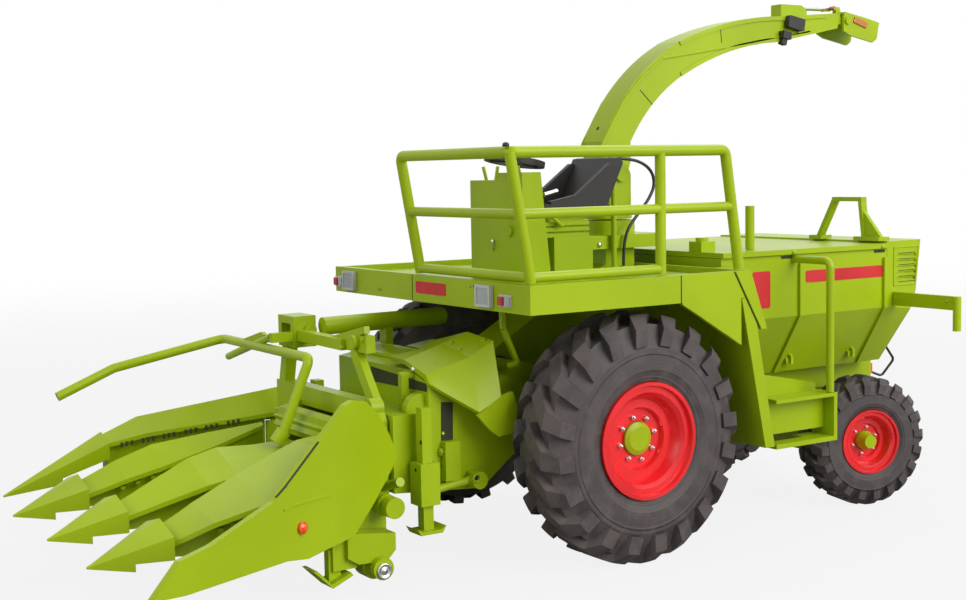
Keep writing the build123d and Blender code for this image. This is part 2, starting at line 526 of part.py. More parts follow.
with BuildPart() as hood:
    end = BOX_Y1 + 13.0
    plate_y([(-BOX_X, HOOD_TOP_Z), (BOX_X, HOOD_TOP_Z), (BOX_X, BOX_KINK_Z), (BOX_LOW_X, BOX_LOW_Z),
             (-BOX_LOW_X, BOX_LOW_Z), (-BOX_X, BOX_KINK_Z)], BOX_Y1, end)
    plate_x([(BOX_Y1 - 1, HOOD_TOP_Z + 1), (end, HOOD_TOP_Z + 1), (end, HOOD_TOP_Z), (end - 2.0, PL_Z1 - 8.9),
             (end - 4.2, BOX_KINK_Z - 0.7), (end - 6.4, BOX_LOW_Z - 1), (BOX_Y1 - 1, BOX_LOW_Z - 1)],
            -BOX_X - 1, BOX_X + 1, mode=Mode.INTERSECT)
    plate_z([(-BOX_X, BOX_Y1 - 1), (BOX_X, BOX_Y1 - 1), (BOX_X, BOX_Y1 + 1), (BOX_X - 0.6, BOX_Y1 + 9),
             (BOX_X - 1.4, end), (1.4 - BOX_X, end), (0.6 - BOX_X, BOX_Y1 + 9), (-BOX_X, BOX_Y1 + 1)],
            BOX_LOW_Z - 2, HOOD_TOP_Z + 2, mode=Mode.INTERSECT)
    # louvres in both sides
    for s in (1, -1):
        for i in range(5):
            z = PL_Z1 - 5.7 + 1.35 * i
            bar((s * (BOX_X + 0.1), BOX_Y1 + 3.4, z), (s * (BOX_X - 0.9), BOX_Y1 + 11.0, z), 0.6, 1.0,
                side=(0, 0, 1), mode=Mode.SUBTRACT)
save(hood.part, "rear_hood")

with BuildPart() as rest:
    ry = BOX_Y1
    for x in (7.4, 21.6):
        block(x - 2.0, x + 2.0, ry - 1.8, ry + 1.8, HOOD_TOP_Z + SEAT, HOOD_TOP_Z + 1.0)
    block(21.6, 27.4, ry - 1.8, ry + 1.8, HOOD_TOP_Z + SEAT, HOOD_TOP_Z + 1.0)
    bar((7.4, ry, HOOD_TOP_Z + 0.6), (12.6, ry, HOOD_TOP_Z + 9.8), 1.0, 1.8, side=(0, 0, 1))
    bar((21.8, ry, HOOD_TOP_Z + 0.6), (20.6, ry, HOOD_TOP_Z + 9.8), 1.0, 1.8, side=(0, 0, 1))
    plate_y([(20.2, HOOD_TOP_Z + 7.0), (21.4, HOOD_TOP_Z + 7.0), (27.3, HOOD_TOP_Z + 0.4),
             (21.4, HOOD_TOP_Z + 0.4)], ry - 0.5, ry + 0.5)
    block(12.0, 21.2, ry - 0.9, ry + 0.9, HOOD_TOP_Z + 9.2, HOOD_TOP_Z + 10.2)
save(rest.part, "spout_rest")

with BuildPart() as exhaust:
    ey, ez = BOX_Y0 + 13.8, BOX_Z1 + LID_T
    rod((22.4, ey, ez + SEAT), (22.4, ey, ez + 9.6), 1.0)
    rod((22.4, ey, ez + 1.0), (22.4, ey, ez + 9.7), 0.7, mode=Mode.SUBTRACT)
save(exhaust.part, "exhaust")

with BuildPart() as rear_pipe:
    px, py = RAIL_X + 1.4, BOX_Y1 + 7.0
    pipe([(px, py + 0.3, BOX_LOW_Z + 2.4), (px, py + 6.2, BOX_LOW_Z + 2.8), (px, py + 9.6, BOX_LOW_Z - 1.2),
          (px - 1.2, py + 6.6, BOX_LOW_Z - 5.2), (RAIL_X - RAIL_W / 2, RAIL_Y1 + SEAT, BOX_LOW_Z - 3.6)],
         0.3, 1.0)
save(rear_pipe.part, "rear_pipe")

for side, word in ((1, "left"), (-1, "right")):
    with BuildPart() as arm:
        ay, az = BOX_Y1 + 2.0, BOX_KINK_Z + 3.4
        block(side * (BOX_X + SEAT), side * (ARM_X - 0.9), ay, ay + 1.2, az - 3.1, az)
        rod((side * (ARM_X - 0.9), ay + 0.4, az - 7.7), (side * (ARM_X - 0.9), ay + 0.4, az), 0.9)
    save(arm.part, f"lamp_arm_{word}")

with BuildPart() as front_lamps:
    for x, w in ((25.5, 2.6), (-30.3, 2.6)):
        block(x - w, x + w, PL_Y0 - 1.1, PL_Y0 - SEAT, PL_Z0 + 0.7, PL_Z0 + 4.9)
        block(x - w + 0.5, x + w - 0.5, PL_Y0 - 2.0, PL_Y0 - 0.7, PL_Z0 + 1.2, PL_Z0 + 4.4, mode=Mode.SUBTRACT)
save(front_lamps.part, "front_lamps")

# driver's place
with BuildPart() as console:
    plate_x([(-16.0, floor_z + SEAT), (-9.2, floor_z + SEAT), (-11.5, PL_Z1 + 20.7), (-16.0, PL_Z1 + 20.7)],
            11.0, 20.0)
    block(0.6, 11.0, -16.0, -10.8, floor_z + SEAT, PL_Z1 + 19.2)
    rod((15.0, -13.8, PL_Z1 + 19.7), (15.0, -14.4, PL_Z1 + 22.0), 1.0)
    # levers, hand knob and pedals
    for x, lean in ((3.0, -0.8), (6.4, 0.6)):
        rod((x, -13.4, PL_Z1 + 19.0), (x, -13.4 + lean, PL_Z1 + 22.0), 0.35)
    rod((15.5, -16.6, PL_Z1 + 9.0), (15.5, -15.8, PL_Z1 + 9.0), 1.1)
    for x in (12.6, 16.4):
        bar((x, -10.6, floor_z + 3.0), (x, -8.2, floor_z + 1.2), 2.0, 0.7)
save(console.part, "console")

with BuildPart() as wheel_rim:
    tilt = Plane(origin=(15.0, -14.4, PL_Z1 + 22.9), x_dir=(1, 0, 0), z_dir=(0, 0.18, 1))
    turned([(5.2, -0.55), (6.2, -0.55), (6.2, 0.55), (5.2, 0.55)], tilt)
    turned([(0.0, -0.4), (1.5, -0.4), (1.5, 0.4), (0.0, 0.4)], tilt)
    for a in (90, 210, 330):
        d = tilt.x_dir * math.cos(math.radians(a)) + tilt.y_dir * math.sin(math.radians(a))
        rod(tilt.origin + d * 1.0, tilt.origin + d * 5.6, 0.4)
save(wheel_rim.part, "steering_wheel")

with BuildPart() as pedestal:
    block(4.5, 18.6, -7.4, 2.4, floor_z + SEAT, PL_Z1 + 7.4)
    for i in range(3):
        z = PL_Z1 + 7.3 + 1.2 * i
        block(4.6, 18.0, -9.0, 2.0, z, z + 0.8)
        block(5.2, 17.4, -8.4, 1.4, z + 0.7, z + 1.3)
    block(5.2, 17.4, -8.4, 1.4, PL_Z1 + 10.7, PL_Z1 + 11.7)
    # adjusting lever beside the seat
    rod((17.8, -6.4, PL_Z1 + 10.2), (19.0, -6.4, PL_Z1 + 10.2), 0.4)
    rod((19.0, -5.6, PL_Z1 + 9.6), (19.0, -9.4, PL_Z1 + 12.6), 0.4)
save(pedestal.part, "seat_pedestal")

with BuildPart() as seat:
    z = PL_Z1 + 11.8
    plate_x([(-10.0, z), (5.5, z), (10.6, z + 10.5), (10.0, z + 11.7), (8.6, z + 11.5), (4.0, z + 2.3),
             (-2.0, z + 1.5), (-9.4, z + 2.5)], 3.6, 18.6)
    for x0 in (3.6, 17.4):
        plate_x([(-8.0, z + 1.4), (4.0, z + 1.4), (9.4, z + 10.3), (7.2, z + 10.5), (-1.6, z + 4.1),
                 (-8.0, z + 2.9)], x0, x0 + 1.2)
save(seat.part, "seat")

# spout
with BuildPart() as turret:
    rod((0, SW_Y, COLLAR_Z0 - 0.2), (0, SW_Y, COLLAR_Z1 - 1.0), COLLAR_R)
    rod((0, SW_Y, COLLAR_Z0), (0, SW_Y, COLLAR_Z1 + 1.0), 2.0)
    block(-7.8, 7.8, SW_Y - 10.6, SW_Y + 10.6, FLANGE_Z0, COLLAR_Z0 - 0.1)
save(turret.part, "turret_ring")

# hose from the upright over a loop down to the deck
hose_route = [(0.0, 0.0), (4.0, -0.1), (7.8, -1.2), (10.2, -3.2), (10.7, -6.0), (9.3, -8.7), (7.1, -11.1),
              (4.8, -13.4), (2.8, -15.8), (1.8, -19.6)]
route = [(HOSE_X, HOSE_Y + y, HOSE_Z + z) for y, z in hose_route] + [(HOSE_X, HOSE_Y + 1.8, HOSE_Z1)]
legs = [(Vector(*b) - Vector(*a)) for a, b in zip(route, route[1:])]
bends = [0.45 * min(a.length, b.length) / math.tan(math.radians(a.get_angle(b) / 2))
         for a, b in zip(legs, legs[1:])]
print("hose radii", [round(b, 2) for b in bends], "length", round(sum(leg.length for leg in legs), 1))
with BuildPart() as hose:
    pipe(route, HOSE_D / 2, bends)
save(hose.part, "hose_spout")

half = SPOUT_W / 2
foot_half = half + GAP + 1.0
with BuildPart() as foot:
    rod((0, SW_Y, COLLAR_Z1 - 1.0 + GAP), (0, SW_Y, COLLAR_Z1 + 1.6), COLLAR_R - 0.6)
    block(-foot_half + 0.9, foot_half - 0.9, SW_Y - 3.6, SW_Y + 3.6, COLLAR_Z1 + 1.0, COLLAR_Z1 + 4.2)
    for s in (1, -1):
        plate_x([(SW_Y - 3.0, COLLAR_Z1 + 1.0), (SW_Y + 3.0, COLLAR_Z1 + 1.0), (SW_Y + 3.0, PIVOT_Z),
                 (SW_Y + 2.0, PIVOT_Z + 2.0), (SW_Y - 2.0, PIVOT_Z + 2.0), (SW_Y - 3.0, PIVOT_Z)],
                s * (half + GAP), s * foot_half)
        rod((s * (half + GAP), SW_Y, PIVOT_Z), (s * (foot_half + 0.8), SW_Y, PIVOT_Z), 1.6)
    rod((-foot_half, SW_Y, PIVOT_Z), (foot_half, SW_Y, PIVOT_Z), PIVOT_R)
    rod((0, SW_Y, COLLAR_Z1 - 2.0), (0, SW_Y, COLLAR_Z1 + 1.0 + GAP), 2.0 + FIT, mode=Mode.SUBTRACT)
save(foot.part, "spout_foot")

# boom: closed elbow, then a channel open underneath
REACH, RISE = FLAP_Y - SW_Y, FLAP_Z - PIVOT_Z
outer_share = [  # along the reach, up the rise: two arcs and a straight run
    (-0.050, 0.200), (0.071, 0.549), (0.256, 0.816), (0.432, 0.931), (0.720, 1.008), (0.983, 1.052)]
inner_share = [(0.057, 0.195), (0.150, 0.431), (0.266, 0.602), (0.420, 0.735), (0.681, 0.838), (0.966, 0.948)]
outer_pts = [(SW_Y + u * REACH, PIVOT_Z + v * RISE) for u, v in outer_share]
inner_pts = [(SW_Y + u * REACH, PIVOT_Z + v * RISE) for u, v in inner_share]


def shifted(points, d):
    """The points moved d to the right of the way they run."""
    moved = []
    for i, (y, z) in enumerate(points):
        (ya, za), (yb, zb) = points[max(i - 1, 0)], points[min(i + 1, len(points) - 1)]
        n = math.hypot(yb - ya, zb - za)
        moved.append((y + d * (zb - za) / n, z - d * (yb - ya) / n))
    return moved


def band(over, under, x0, x1, elbow=(), mode=Mode.ADD):
    """Side view between two curves of two arcs and a run, extruded from x0 to x1."""
    with BuildSketch(Plane.YZ.offset(x0)) as sk:
        with BuildLine():
            ThreePointArc(*over[0:3])
            ThreePointArc(*over[2:5])
            Polyline(over[4], over[5], under[5], under[4])
            ThreePointArc(*under[4:1:-1])
            ThreePointArc(*under[2::-1])
            Polyline(under[0], *elbow, over[0])
        make_face()
    extrude(sk.sketch, amount=x1 - x0, mode=mode)


def rolled(points, d, w):
    """Rolled edge along the straight end and the second arc of a curve."""
    inner = shifted(points, d)
    tail = [(y + 0.72 * (yb - y), z + 0.72 * (zb - z))
            for (y, z), (yb, zb) in ((points[4], points[5]), (inner[4], inner[5]))]
    for s in (1, -1):
        with BuildSketch(Plane.YZ.offset(s * (half - 0.1))) as sk:
            with BuildLine():
                ThreePointArc(*points[2:5])
                Polyline(points[4], tail[0], tail[1], inner[4])
                ThreePointArc(*inner[4:1:-1])
                Line(inner[2], points[2])
            make_face()
        extrude(sk.sketch, amount=s * (w + 0.1))


with BuildPart() as spout:
    band(outer_pts, inner_pts, -half, half,
         elbow=[(SW_Y + 4.1, PIVOT_Z + 2.8), (SW_Y + 2.0, PIVOT_Z - 3.0), (SW_Y - 2.0, PIVOT_Z - 3.0),
                (SW_Y - 3.6, PIVOT_Z + 2.8)])
    # hollow, open underneath past the elbow
    cut = shifted(outer_pts, SPOUT_WALL)[2:]
    drop = shifted(inner_pts, 6.0)[2:]
    cut.append((cut[-1][0] + 3.0, cut[-1][1] + 0.2))
    drop.append((drop[-1][0] + 6.0, drop[-1][1] + 0.2))
    with BuildSketch(Plane.YZ.offset(SPOUT_WALL - half)) as hollow:
        with BuildLine():
            ThreePointArc(*cut[0:3])
            Polyline(*cut[2:5])
            Polyline(cut[4 - 0], drop[4], drop[2], drop[0], cut[0])
        make_face()
    extrude(hollow.sketch, amount=SPOUT_W - 2 * SPOUT_WALL, mode=Mode.SUBTRACT)
    rolled(inner_pts, -1.0, 0.3)
    rolled(outer_pts, 1.0, 0.3)
    # housing of the flap's ram, on top
    by, bz = FLAP_Y - 19.5, FLAP_Z + 0.2
    plate_x([(by, bz), (by, bz + 3.2), (by + 7.1, bz + 3.2), (by + 8.6, bz + 1.9), (by + 8.6, bz)], -1.7, 1.7)
    rod((-half - 1, SW_Y, PIVOT_Z), (half + 1, SW_Y, PIVOT_Z), PIVOT_R + FIT, mode=Mode.SUBTRACT)
    for s in (1, -1):
        rod((s * (half - 0.8), FLAP_Y, FLAP_Z), (s * half, FLAP_Y, FLAP_Z), 0.85)
        plate_x([(FLAP_Y - 3.5, FLAP_Z - 0.85), (FLAP_Y, FLAP_Z - 0.85), (FLAP_Y, FLAP_Z + 0.85),
                 (FLAP_Y - 3.5, FLAP_Z + 0.85)], s * (half - 0.8), s * half)
save(spout.part, "spout")

with BuildPart() as flap:
    wide = half + GAP + 0.7
    plate_x([(FLAP_Y - 0.8, FLAP_Z + 2.1), (FLAP_Y + 6.5, FLAP_Z + 0.9), (SPOUT_END_Y, FLAP_Z - 0.1),
             (SPOUT_END_Y - 0.2, FLAP_Z - 0.9), (FLAP_Y + 6.4, FLAP_Z + 0.1), (FLAP_Y - 0.6, FLAP_Z + 1.3)],
            -wide, wide)
    for s in (1, -1):
        plate_x([(FLAP_Y - 1.1, FLAP_Z + 2.0), (FLAP_Y + 6.5, FLAP_Z + 0.8), (SPOUT_END_Y - 0.1, FLAP_Z - 0.2),
                 (SPOUT_END_Y - 0.9, FLAP_Z - 4.1), (SPOUT_END_Y - 2.2, FLAP_Z - 5.0),
                 (FLAP_Y + 0.9, FLAP_Z - 3.5), (FLAP_Y - 1.3, FLAP_Z - 2.5)], s * (half + GAP), s * wide)
        # hinge bosses beside the boom's end
        rod((s * (half + SEAT / 2), FLAP_Y, FLAP_Z), (s * (wide + 0.5), FLAP_Y, FLAP_Z), 0.9)
    # lever of the ram
    plate_x([(FLAP_Y + 0.4, FLAP_Z + 1.5), (FLAP_Y + 0.2, FLAP_Z + 3.6), (FLAP_Y + 1.4, FLAP_Z + 3.8),
             (FLAP_Y + 2.6, FLAP_Z + 1.2)], -0.6, 0.6)
save(flap.part, "spout_flap")

# header
TIP_Z = 12.2
NOSE_Y = TIP_Y + 13.2       # rear end of the middle noses
BASE_Z = 12.6               # top of the floor pan
FRAME_Y0, FRAME_Y1 = -49.4, -46.4   # rear wall
LIP = 0.9                   # folded edge of the hoods


def nose(x, tip_y, rear_y, zr, zs, zb, hw, tip_z=TIP_Z, outer=None):
    """Pointed divider nose with a ridge; its underside steps up before the rear end."""
    e = 0.25
    left = hw if outer is None else outer
    cut = 0.55
    at = tip_y + cut * (rear_y - tip_y)

    def section(t, under):
        return [(x - e - t * (left - e), under), (x + e + t * (hw - e), under),
                (x + e + t * (hw - e), tip_z + t * (zs - tip_z)), (x, tip_z + 0.2 + t * (zr - tip_z - 0.2)),
                (x - e - t * (left - e), tip_z + t * (zs - tip_z))]

    low = tip_z + 0.45 * (zb - tip_z)
    section_loft([(tip_y, section(0, tip_z - 0.2)), (at, section(cut, low - 1.4))])
    section_loft([(at, section(cut, low)), (rear_y, section(1, zb))])


def hood(table):
    """Folded divider hood over a narrower body, from (y, left, ridge, right) sections of (x, z)."""
    section_loft([(y, [(xl, zl - LIP), (xm, zm - LIP - 0.6), (xr, zr - LIP), (xr, zr), (xm, zm), (xl, zl)])
                  for y, xl, zl, xm, zm, xr, zr in table])
    low = BASE_Z
    section_loft([(y, [(xl + 0.24 * (xr - xl), low), (xr - 0.24 * (xr - xl), low),
                       (xr - 0.24 * (xr - xl), zr - 0.4), (xm, zm - LIP), (xl + 0.24 * (xr - xl), zl - 0.4)])
                  for y, xl, zl, xm, zm, xr, zr in table])


def chain(a, b, s, fingers=7):
    """Run of a gathering chain under a lip from a to b, its fingers towards s along X."""
    a, b = Vector(*a), Vector(*b)
    bar(a, b, 1.4, 0.8)
    for i in range(fingers):
        p = a + (b - a) * ((i + 0.5) / fingers)
        bar(p - Vector(s * 0.4, 0, 0), p + Vector(s * 2.0, -0.9, 0), 0.7, 0.9, side=(0, 0, 1))


CHAINS = {  # front x y z, rear x y z, fingers to +X or -X
    "divider_2": [((-31.9, -86.0, 15.6), (-28.8, -66.0, 19.8), -1), ((-24.9, -86.0, 15.8), (-24.4, -64.0, 20.6), 1)],
    "divider_3": [((-8.3, -86.0, 15.8), (-7.4, -66.0, 19.8), -1)],
    "divider_4": [((24.6, -85.0, 17.0), (27.2, -70.0, 22.2), 1)],
}
HOODS = {  # y, left x z, ridge x z, right x z
    "divider_2": [(-92.5, -34.5, 15.6, -29.0, 17.4, -23.5, 15.6), (-85.0, -34.6, 17.6, -28.4, 20.8, -22.2, 17.9),
                  (-77.4, -34.0, 19.5, -27.6, 23.4, -21.8, 19.6), (-66.0, -29.5, 22.2, -25.8, 24.8, -21.9, 22.4),
                  (-54.3, -24.7, 25.2, -24.0, 26.0, -22.8, 25.6)],
    "divider_3": [(-92.5, -11.0, 15.6, -5.6, 17.2, -0.2, 15.6), (-85.5, -11.3, 17.6, -5.6, 20.6, 1.8, 17.9),
                  (-78.0, -11.6, 19.2, -5.8, 24.0, 4.4, 20.4), (-72.0, -11.4, 20.8, -6.0, 25.4, 4.8, 21.4),
                  (-64.0, -10.5, 22.8, -6.2, 25.0, 3.0, 23.2), (-57.0, -9.0, 24.0, -6.2, 25.2, 0.4, 25.0)],
    "divider_4": [(-92.5, 12.4, 15.6, 17.8, 17.4, 23.2, 15.6), (-86.5, 11.2, 17.8, 17.2, 20.6, 28.2, 19.2),
                  (-78.0, 10.0, 21.0, 16.4, 24.2, 33.0, 22.5), (-70.0, 6.6, 22.8, 15.0, 27.0, 30.0, 25.6),
                  (-64.0, 4.4, 24.6, 14.0, 28.9, 27.6, 28.2), (-57.0, 1.4, 26.0, 10.0, 28.6, 22.5, 31.4)],
}
for i, (name, table) in enumerate(HOODS.items()):
    with BuildPart() as divider:
        nose(H_X + (i - 1) * ROW, TIP_Y, NOSE_Y, 18.9, 17.0, 12.9, 7.0)
        hood(table)
        for a, b, s in CHAINS[name]:
            chain(a, b, s)
    save(divider.part, name)

# far outer divider: longer nose, hood running in to the intake, slotted strip under its lip
with BuildPart() as divider_1:
    far = H_X - 2 * ROW
    nose(far, TIP_Y + 4.1, -80.0, 22.8, 21.0, 17.6, 5.6, tip_z=11.3, outer=FAR_SIDE)
    table = [(-80.0, far - 1.2, 21.4, far + 1.0, 22.4, far + 5.4, 21.0),
             (-72.2, far - 1.0, 24.2, far + 0.8, 25.4, far + 8.2, 22.8),
             (-45.0, far + 15.8, 30.4, far + 19.0, 31.8, far + 25.0, 27.4)]
    hood(table)
    (ya, *_, xa, za), (yb, *_, xb, zb) = table[1:]
    for i in range(24):
        group, k = divmod(i, 3)
        t = 0.02 + group * 0.113 + k * 0.030
        x, y, z = xa - 3.4 + t * (xb - xa + 0.4), ya + t * (yb - ya), za - 2.3 + t * (zb - za)
        block(x - 2.6, x + 1.2, y - 0.28, y + 0.28, z - 0.9, z + 0.9)
    block(far, far + 40, FRAME_Y0 - 0.3, FRAME_Y1 + 10, 0, 24.9, mode=Mode.SUBTRACT)
save(divider_1.part, "divider_1")

# near outer divider: one upright sheet running in to the intake, with the nose's inner side
SHEET_A = math.radians(22.3)
SHEET_X, SHEET_Y = 43.0, -97.0
with BuildPart() as divider_5:
    sheet_dir = Vector(-math.sin(SHEET_A), math.cos(SHEET_A), 0)
    base = Plane(origin=(SHEET_X, SHEET_Y, 0), x_dir=sheet_dir,
                 z_dir=Vector(math.cos(SHEET_A), math.sin(SHEET_A), 0))
    c = math.cos(SHEET_A)
    outline = [((y - SHEET_Y) / c, z) for y, z in
               ((-104.4, 12.8), (-97.6, 12.1), (-75.9, 12.1), (-71.0, 11.3), (-65.9, 11.9), (-59.5, 12.6),
                (-53.8, 17.7), (-48.5, 23.4), (-47.4, 25.4), (-49.3, 29.5), (-51.9, 33.6), (-55.5, 36.8),
                (-58.8, 37.5), (-60.9, 36.9), (-63.9, 34.5), (-78.6, 23.1), (-92.2, 18.9), (-98.7, 17.9))]
    with BuildSketch(base) as sk:
        with BuildLine():
            Polyline(*outline, close=True)
        make_face()
    extrude(amount=-1.2)
    section_loft([(-104.0, [(45.2, 12.9), (45.6, 12.9), (45.6, 13.4), (45.2, 13.4)]),
                  (-98.5, [(39.6, 12.4), (43.2, 12.4), (43.2, 17.8), (39.6, 15.4)]),
                  (-90.0, [(34.6, 12.4), (39.8, 12.4), (39.8, 19.2), (34.6, 16.8)])])
save(divider_5.part, "divider_5")

# header floor: pan under the rows, four row arms narrowing to the intake
with BuildPart() as floor_pan:
    plate_z([(-46.0, -78.0), (-36.4, -78.0), (-32.0, -49.6), (17.5, -49.6), (17.5, -61.0),
             (23.0, -66.0), (31.6, -78.0), (34.0, -86.0), (-46.0, -86.0)], BASE_Z - 1.2, BASE_Z - SEAT)
    for i in range(4):
        x = (i - 1.5) * ROW
        bar((H_X + x, -89.0, BASE_Z + 0.5), (H_X + x, -80.0, BASE_Z + 0.5), 4.4, 1.4)
save(floor_pan.part, "header_floor")

# ribbed feed rollers in front of the crop window
with BuildPart() as rollers:
    for z, r in ((28.2, 3.0), (20.8, 3.0)):
        star = []
        for k in range(20):
            a, q = math.radians(18 * k), r if k % 2 else r - 0.7
            star.append((-53.1 + q * math.cos(a), z + q * math.sin(a)))
        plate_x(star, -THROAT_X, THROAT_X)
save(rollers.part, "feed_rollers")

# rear frame of the header: wall with the crop window, beam, coupler box, ear and struts
with BuildPart() as mast:
    plate_y([(-33.0, 13.0), (17.4, 13.0), (17.4, 31.0), (15.0, 34.6), (-26.2, 34.6), (-26.2, 25.6), (-33.0, 24.6)],
            FRAME_Y0, FRAME_Y1)
    block(-THROAT_X, THROAT_X, FRAME_Y0 - 1, FRAME_Y1 + 1, THROAT_Z0, THROAT_Z1, mode=Mode.SUBTRACT)
    for s in (1, -1):
        plate_x([(FRAME_Y0 + 0.2, 16.6), (FRAME_Y0 + 0.2, 31.6), (-55.0, 30.2), (-55.0, 18.8)],
                s * (THROAT_X + SEAT), s * (THROAT_X + 1.1))
    my = (FRAME_Y0 + FRAME_Y1) / 2
    bar((-19.0, my + 1.0, 44.6), (2.0, my + 1.0, 44.4), 2.2, 2.4, side=(0, 0, 1))
    block(-25.6, -18.0, my - 1.0, my + 4.2, 42.0, 48.6)
    block(-24.0, -19.6, my - 2.0, my + 2.0, 43.6, 47.0, mode=Mode.SUBTRACT)
    block(-19.8, -18.2, -53.8, my - 0.6, 43.4, 45.4)
    rod((-18.6, my + 2.6, 45.6), (-16.9, my + 2.6, 45.6), 1.3)
    block(1.5, 10.9, my + 0.8, my + 2.8, 43.4, 46.8)
    rod((6.8, my - 0.4, 45.4), (6.8, my + 3.4, 45.4), 1.4)
    bar((-5.3, my + 1.4, 44.6), (10.2, my + 1.4, 48.0), 1.4, 1.2, side=(0, 0, 1))
    bar((-22.0, my, 42.6), (-24.4, my, 33.6), 2.4, 2.6, side=(0, 1, 0))
    bar((5.2, my + 1.4, 43.8), (15.6, my + 0.6, 32.6), 1.6, 2.6, side=(0, 1, 0))
    rod((14.6, my - 1.3, 33.4), (14.6, my + 1.4, 33.4), 1.9)
    rod((16.4, my + 0.5, 18.0), (24.0, my + 0.3, 20.4), 0.9)
save(mast.part, "header_mast")

with BuildPart() as drive_tube:
    rod((-16.6, my + 5.0, 46.3), (-16.6, LIFT_Y + 2.0, LIFT_Z + 16.5), 1.9)
    block(-18.0, -15.2, LIFT_Y - 13.4, LIFT_Y - 11.6, LIFT_Z + 11.0, LIFT_Z + 15.6)
save(drive_tube.part, "drive_tube")

# crop bar: leg on the middle divider, bar across the rows and forward over the far ones
with BuildPart() as pusher:
    pipe([(-2.0, -60.0, 26.0), (-1.3, -53.4, 41.9), (-46.4, -53.0, 41.9), (-50.0, -77.3, 36.9),
          (-50.0, -89.9, 31.8)], 1.0, [1.6, 2.4, 6.0])
    rod((-2.1, -60.9, 25.6), (-1.9, -59.2, 27.8), 1.5)
    rod((-43.7, -53.0, 38.1), (-20.4, -53.0, 44.5), 0.8)
    plate_y([(-40.3, 41.4), (-24.6, 45.2), (-22.9, 44.7), (-27.3, 41.4)], -53.5, -52.6)
save(pusher.part, "crop_bar")

# drive of the header: cross shaft with its joint, bevel box and skid under the near side
with BuildPart() as gearbox:
    along = Plane(origin=(17.6, -50.4, 16.3), x_dir=(0, 1, 0), z_dir=(1, 0, 0))
    turned([(0, 0), (1.7, 0), (1.7, 2.2), (1.1, 2.2), (1.1, 3.4), (2.1, 3.4), (2.1, 6.2), (1.3, 6.2),
            (1.3, 7.2), (2.0, 7.2), (2.0, 9.4), (0, 9.4)], along)
    block(19.4, 21.4, -57.6, -49.4, 8.6, 16.2)
    plate_x([(-60.2, 8.2), (-60.2, 12.8), (-50.2, 11.6), (-50.2, 8.4), (-52.0, 6.6), (-58.0, 6.8)], 20.6, 26.4)
    nut = Plane(origin=(21.0, -53.7, 5.6), x_dir=(0, 1, 0), z_dir=(1, 0, 0))
    turned([(0, 0), (2.6, 0), (2.6, 3.6), (1.6, 3.6), (1.6, 5.6), (2.1, 5.6), (2.1, 7.0), (0, 7.0)], nut)
    block(22.4, 25.4, -62.8, -58.0, 6.0, 11.3)
    plate_x([(-67.2, 6.9), (-66.4, 6.9), (-63.6, 4.0), (-59.6, 5.6), (-59.2, 5.0), (-63.4, 3.2)], 21.4, 26.4)
    block(23.0, 24.8, -63.4, -61.0, 3.8, 10.0)
save(gearbox.part, "header_gearbox")

with BuildPart() as jack_sleeve:
    block(JACK_X - 2.1, JACK_X + 2.1, JACK_Y - 2.1, JACK_Y + 2.1, 14.8, 23.0)
    block(JACK_X - 1.2, JACK_X + 1.2, JACK_Y - 1.2, JACK_Y + 1.2, 14.0, 24.0, mode=Mode.SUBTRACT)
save(jack_sleeve.part, "jack_sleeve")

with BuildPart() as jack_leg:
    block(JACK_X - 1.1, JACK_X + 1.1, JACK_Y - 1.1, JACK_Y + 1.1, 9.6, 33.6)
    plate_x([(JACK_Y - 3.2, 10.6), (JACK_Y - 2.4, 9.3), (JACK_Y + 2.4, 9.3), (JACK_Y + 3.2, 10.6),
             (JACK_Y + 2.0, 10.0), (JACK_Y - 2.0, 10.0)], JACK_X - 2.3, JACK_X + 2.3)
save(jack_leg.part, "jack_leg")
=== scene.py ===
"""Looks of the 1:32 forage harvester: camera, finishes, small trim, floor and lights."""

import math

import bmesh
import bpy
import numpy as np
from mathutils import Matrix, Vector


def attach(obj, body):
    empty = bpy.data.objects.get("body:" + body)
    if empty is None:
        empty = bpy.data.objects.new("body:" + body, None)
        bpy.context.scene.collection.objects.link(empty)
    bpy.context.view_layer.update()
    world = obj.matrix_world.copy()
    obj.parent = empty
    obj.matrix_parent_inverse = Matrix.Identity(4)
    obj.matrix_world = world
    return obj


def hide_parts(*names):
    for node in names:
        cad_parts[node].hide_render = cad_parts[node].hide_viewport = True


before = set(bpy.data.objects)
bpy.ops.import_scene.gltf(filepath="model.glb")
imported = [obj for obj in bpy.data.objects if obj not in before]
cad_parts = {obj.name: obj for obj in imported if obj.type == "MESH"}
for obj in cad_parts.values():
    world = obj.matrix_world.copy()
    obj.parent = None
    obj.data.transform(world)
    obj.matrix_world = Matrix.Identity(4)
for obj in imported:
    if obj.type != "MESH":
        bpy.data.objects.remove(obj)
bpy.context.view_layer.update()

# Places are written in the machine frame, in millimetres: X to the machine's left, Y to the rear,
# Z up, with the front axle over the origin. MIDDLE is the middle of the overall box.
MIDDLE = np.array([-3.3, -1.2, 0.0])
MM = 1000.0  # millimetres in a metre


def row(points):
    """Machine millimetres to the row frame's metres."""
    return (np.asarray(points, float) - MIDDLE) / MM


# the photograph's camera, found by fitting: place in the machine frame, lens for a 36 mm sensor, then
# compass angle, height angle and roll in degrees
CAMERA_PLACE = (257.487, -178.199, 78.337)
CAMERA_LENS, CAMERA_SENSOR = 53.70, 36.0
CAMERA_ANGLES = (57.309, 5.099, -1.066)


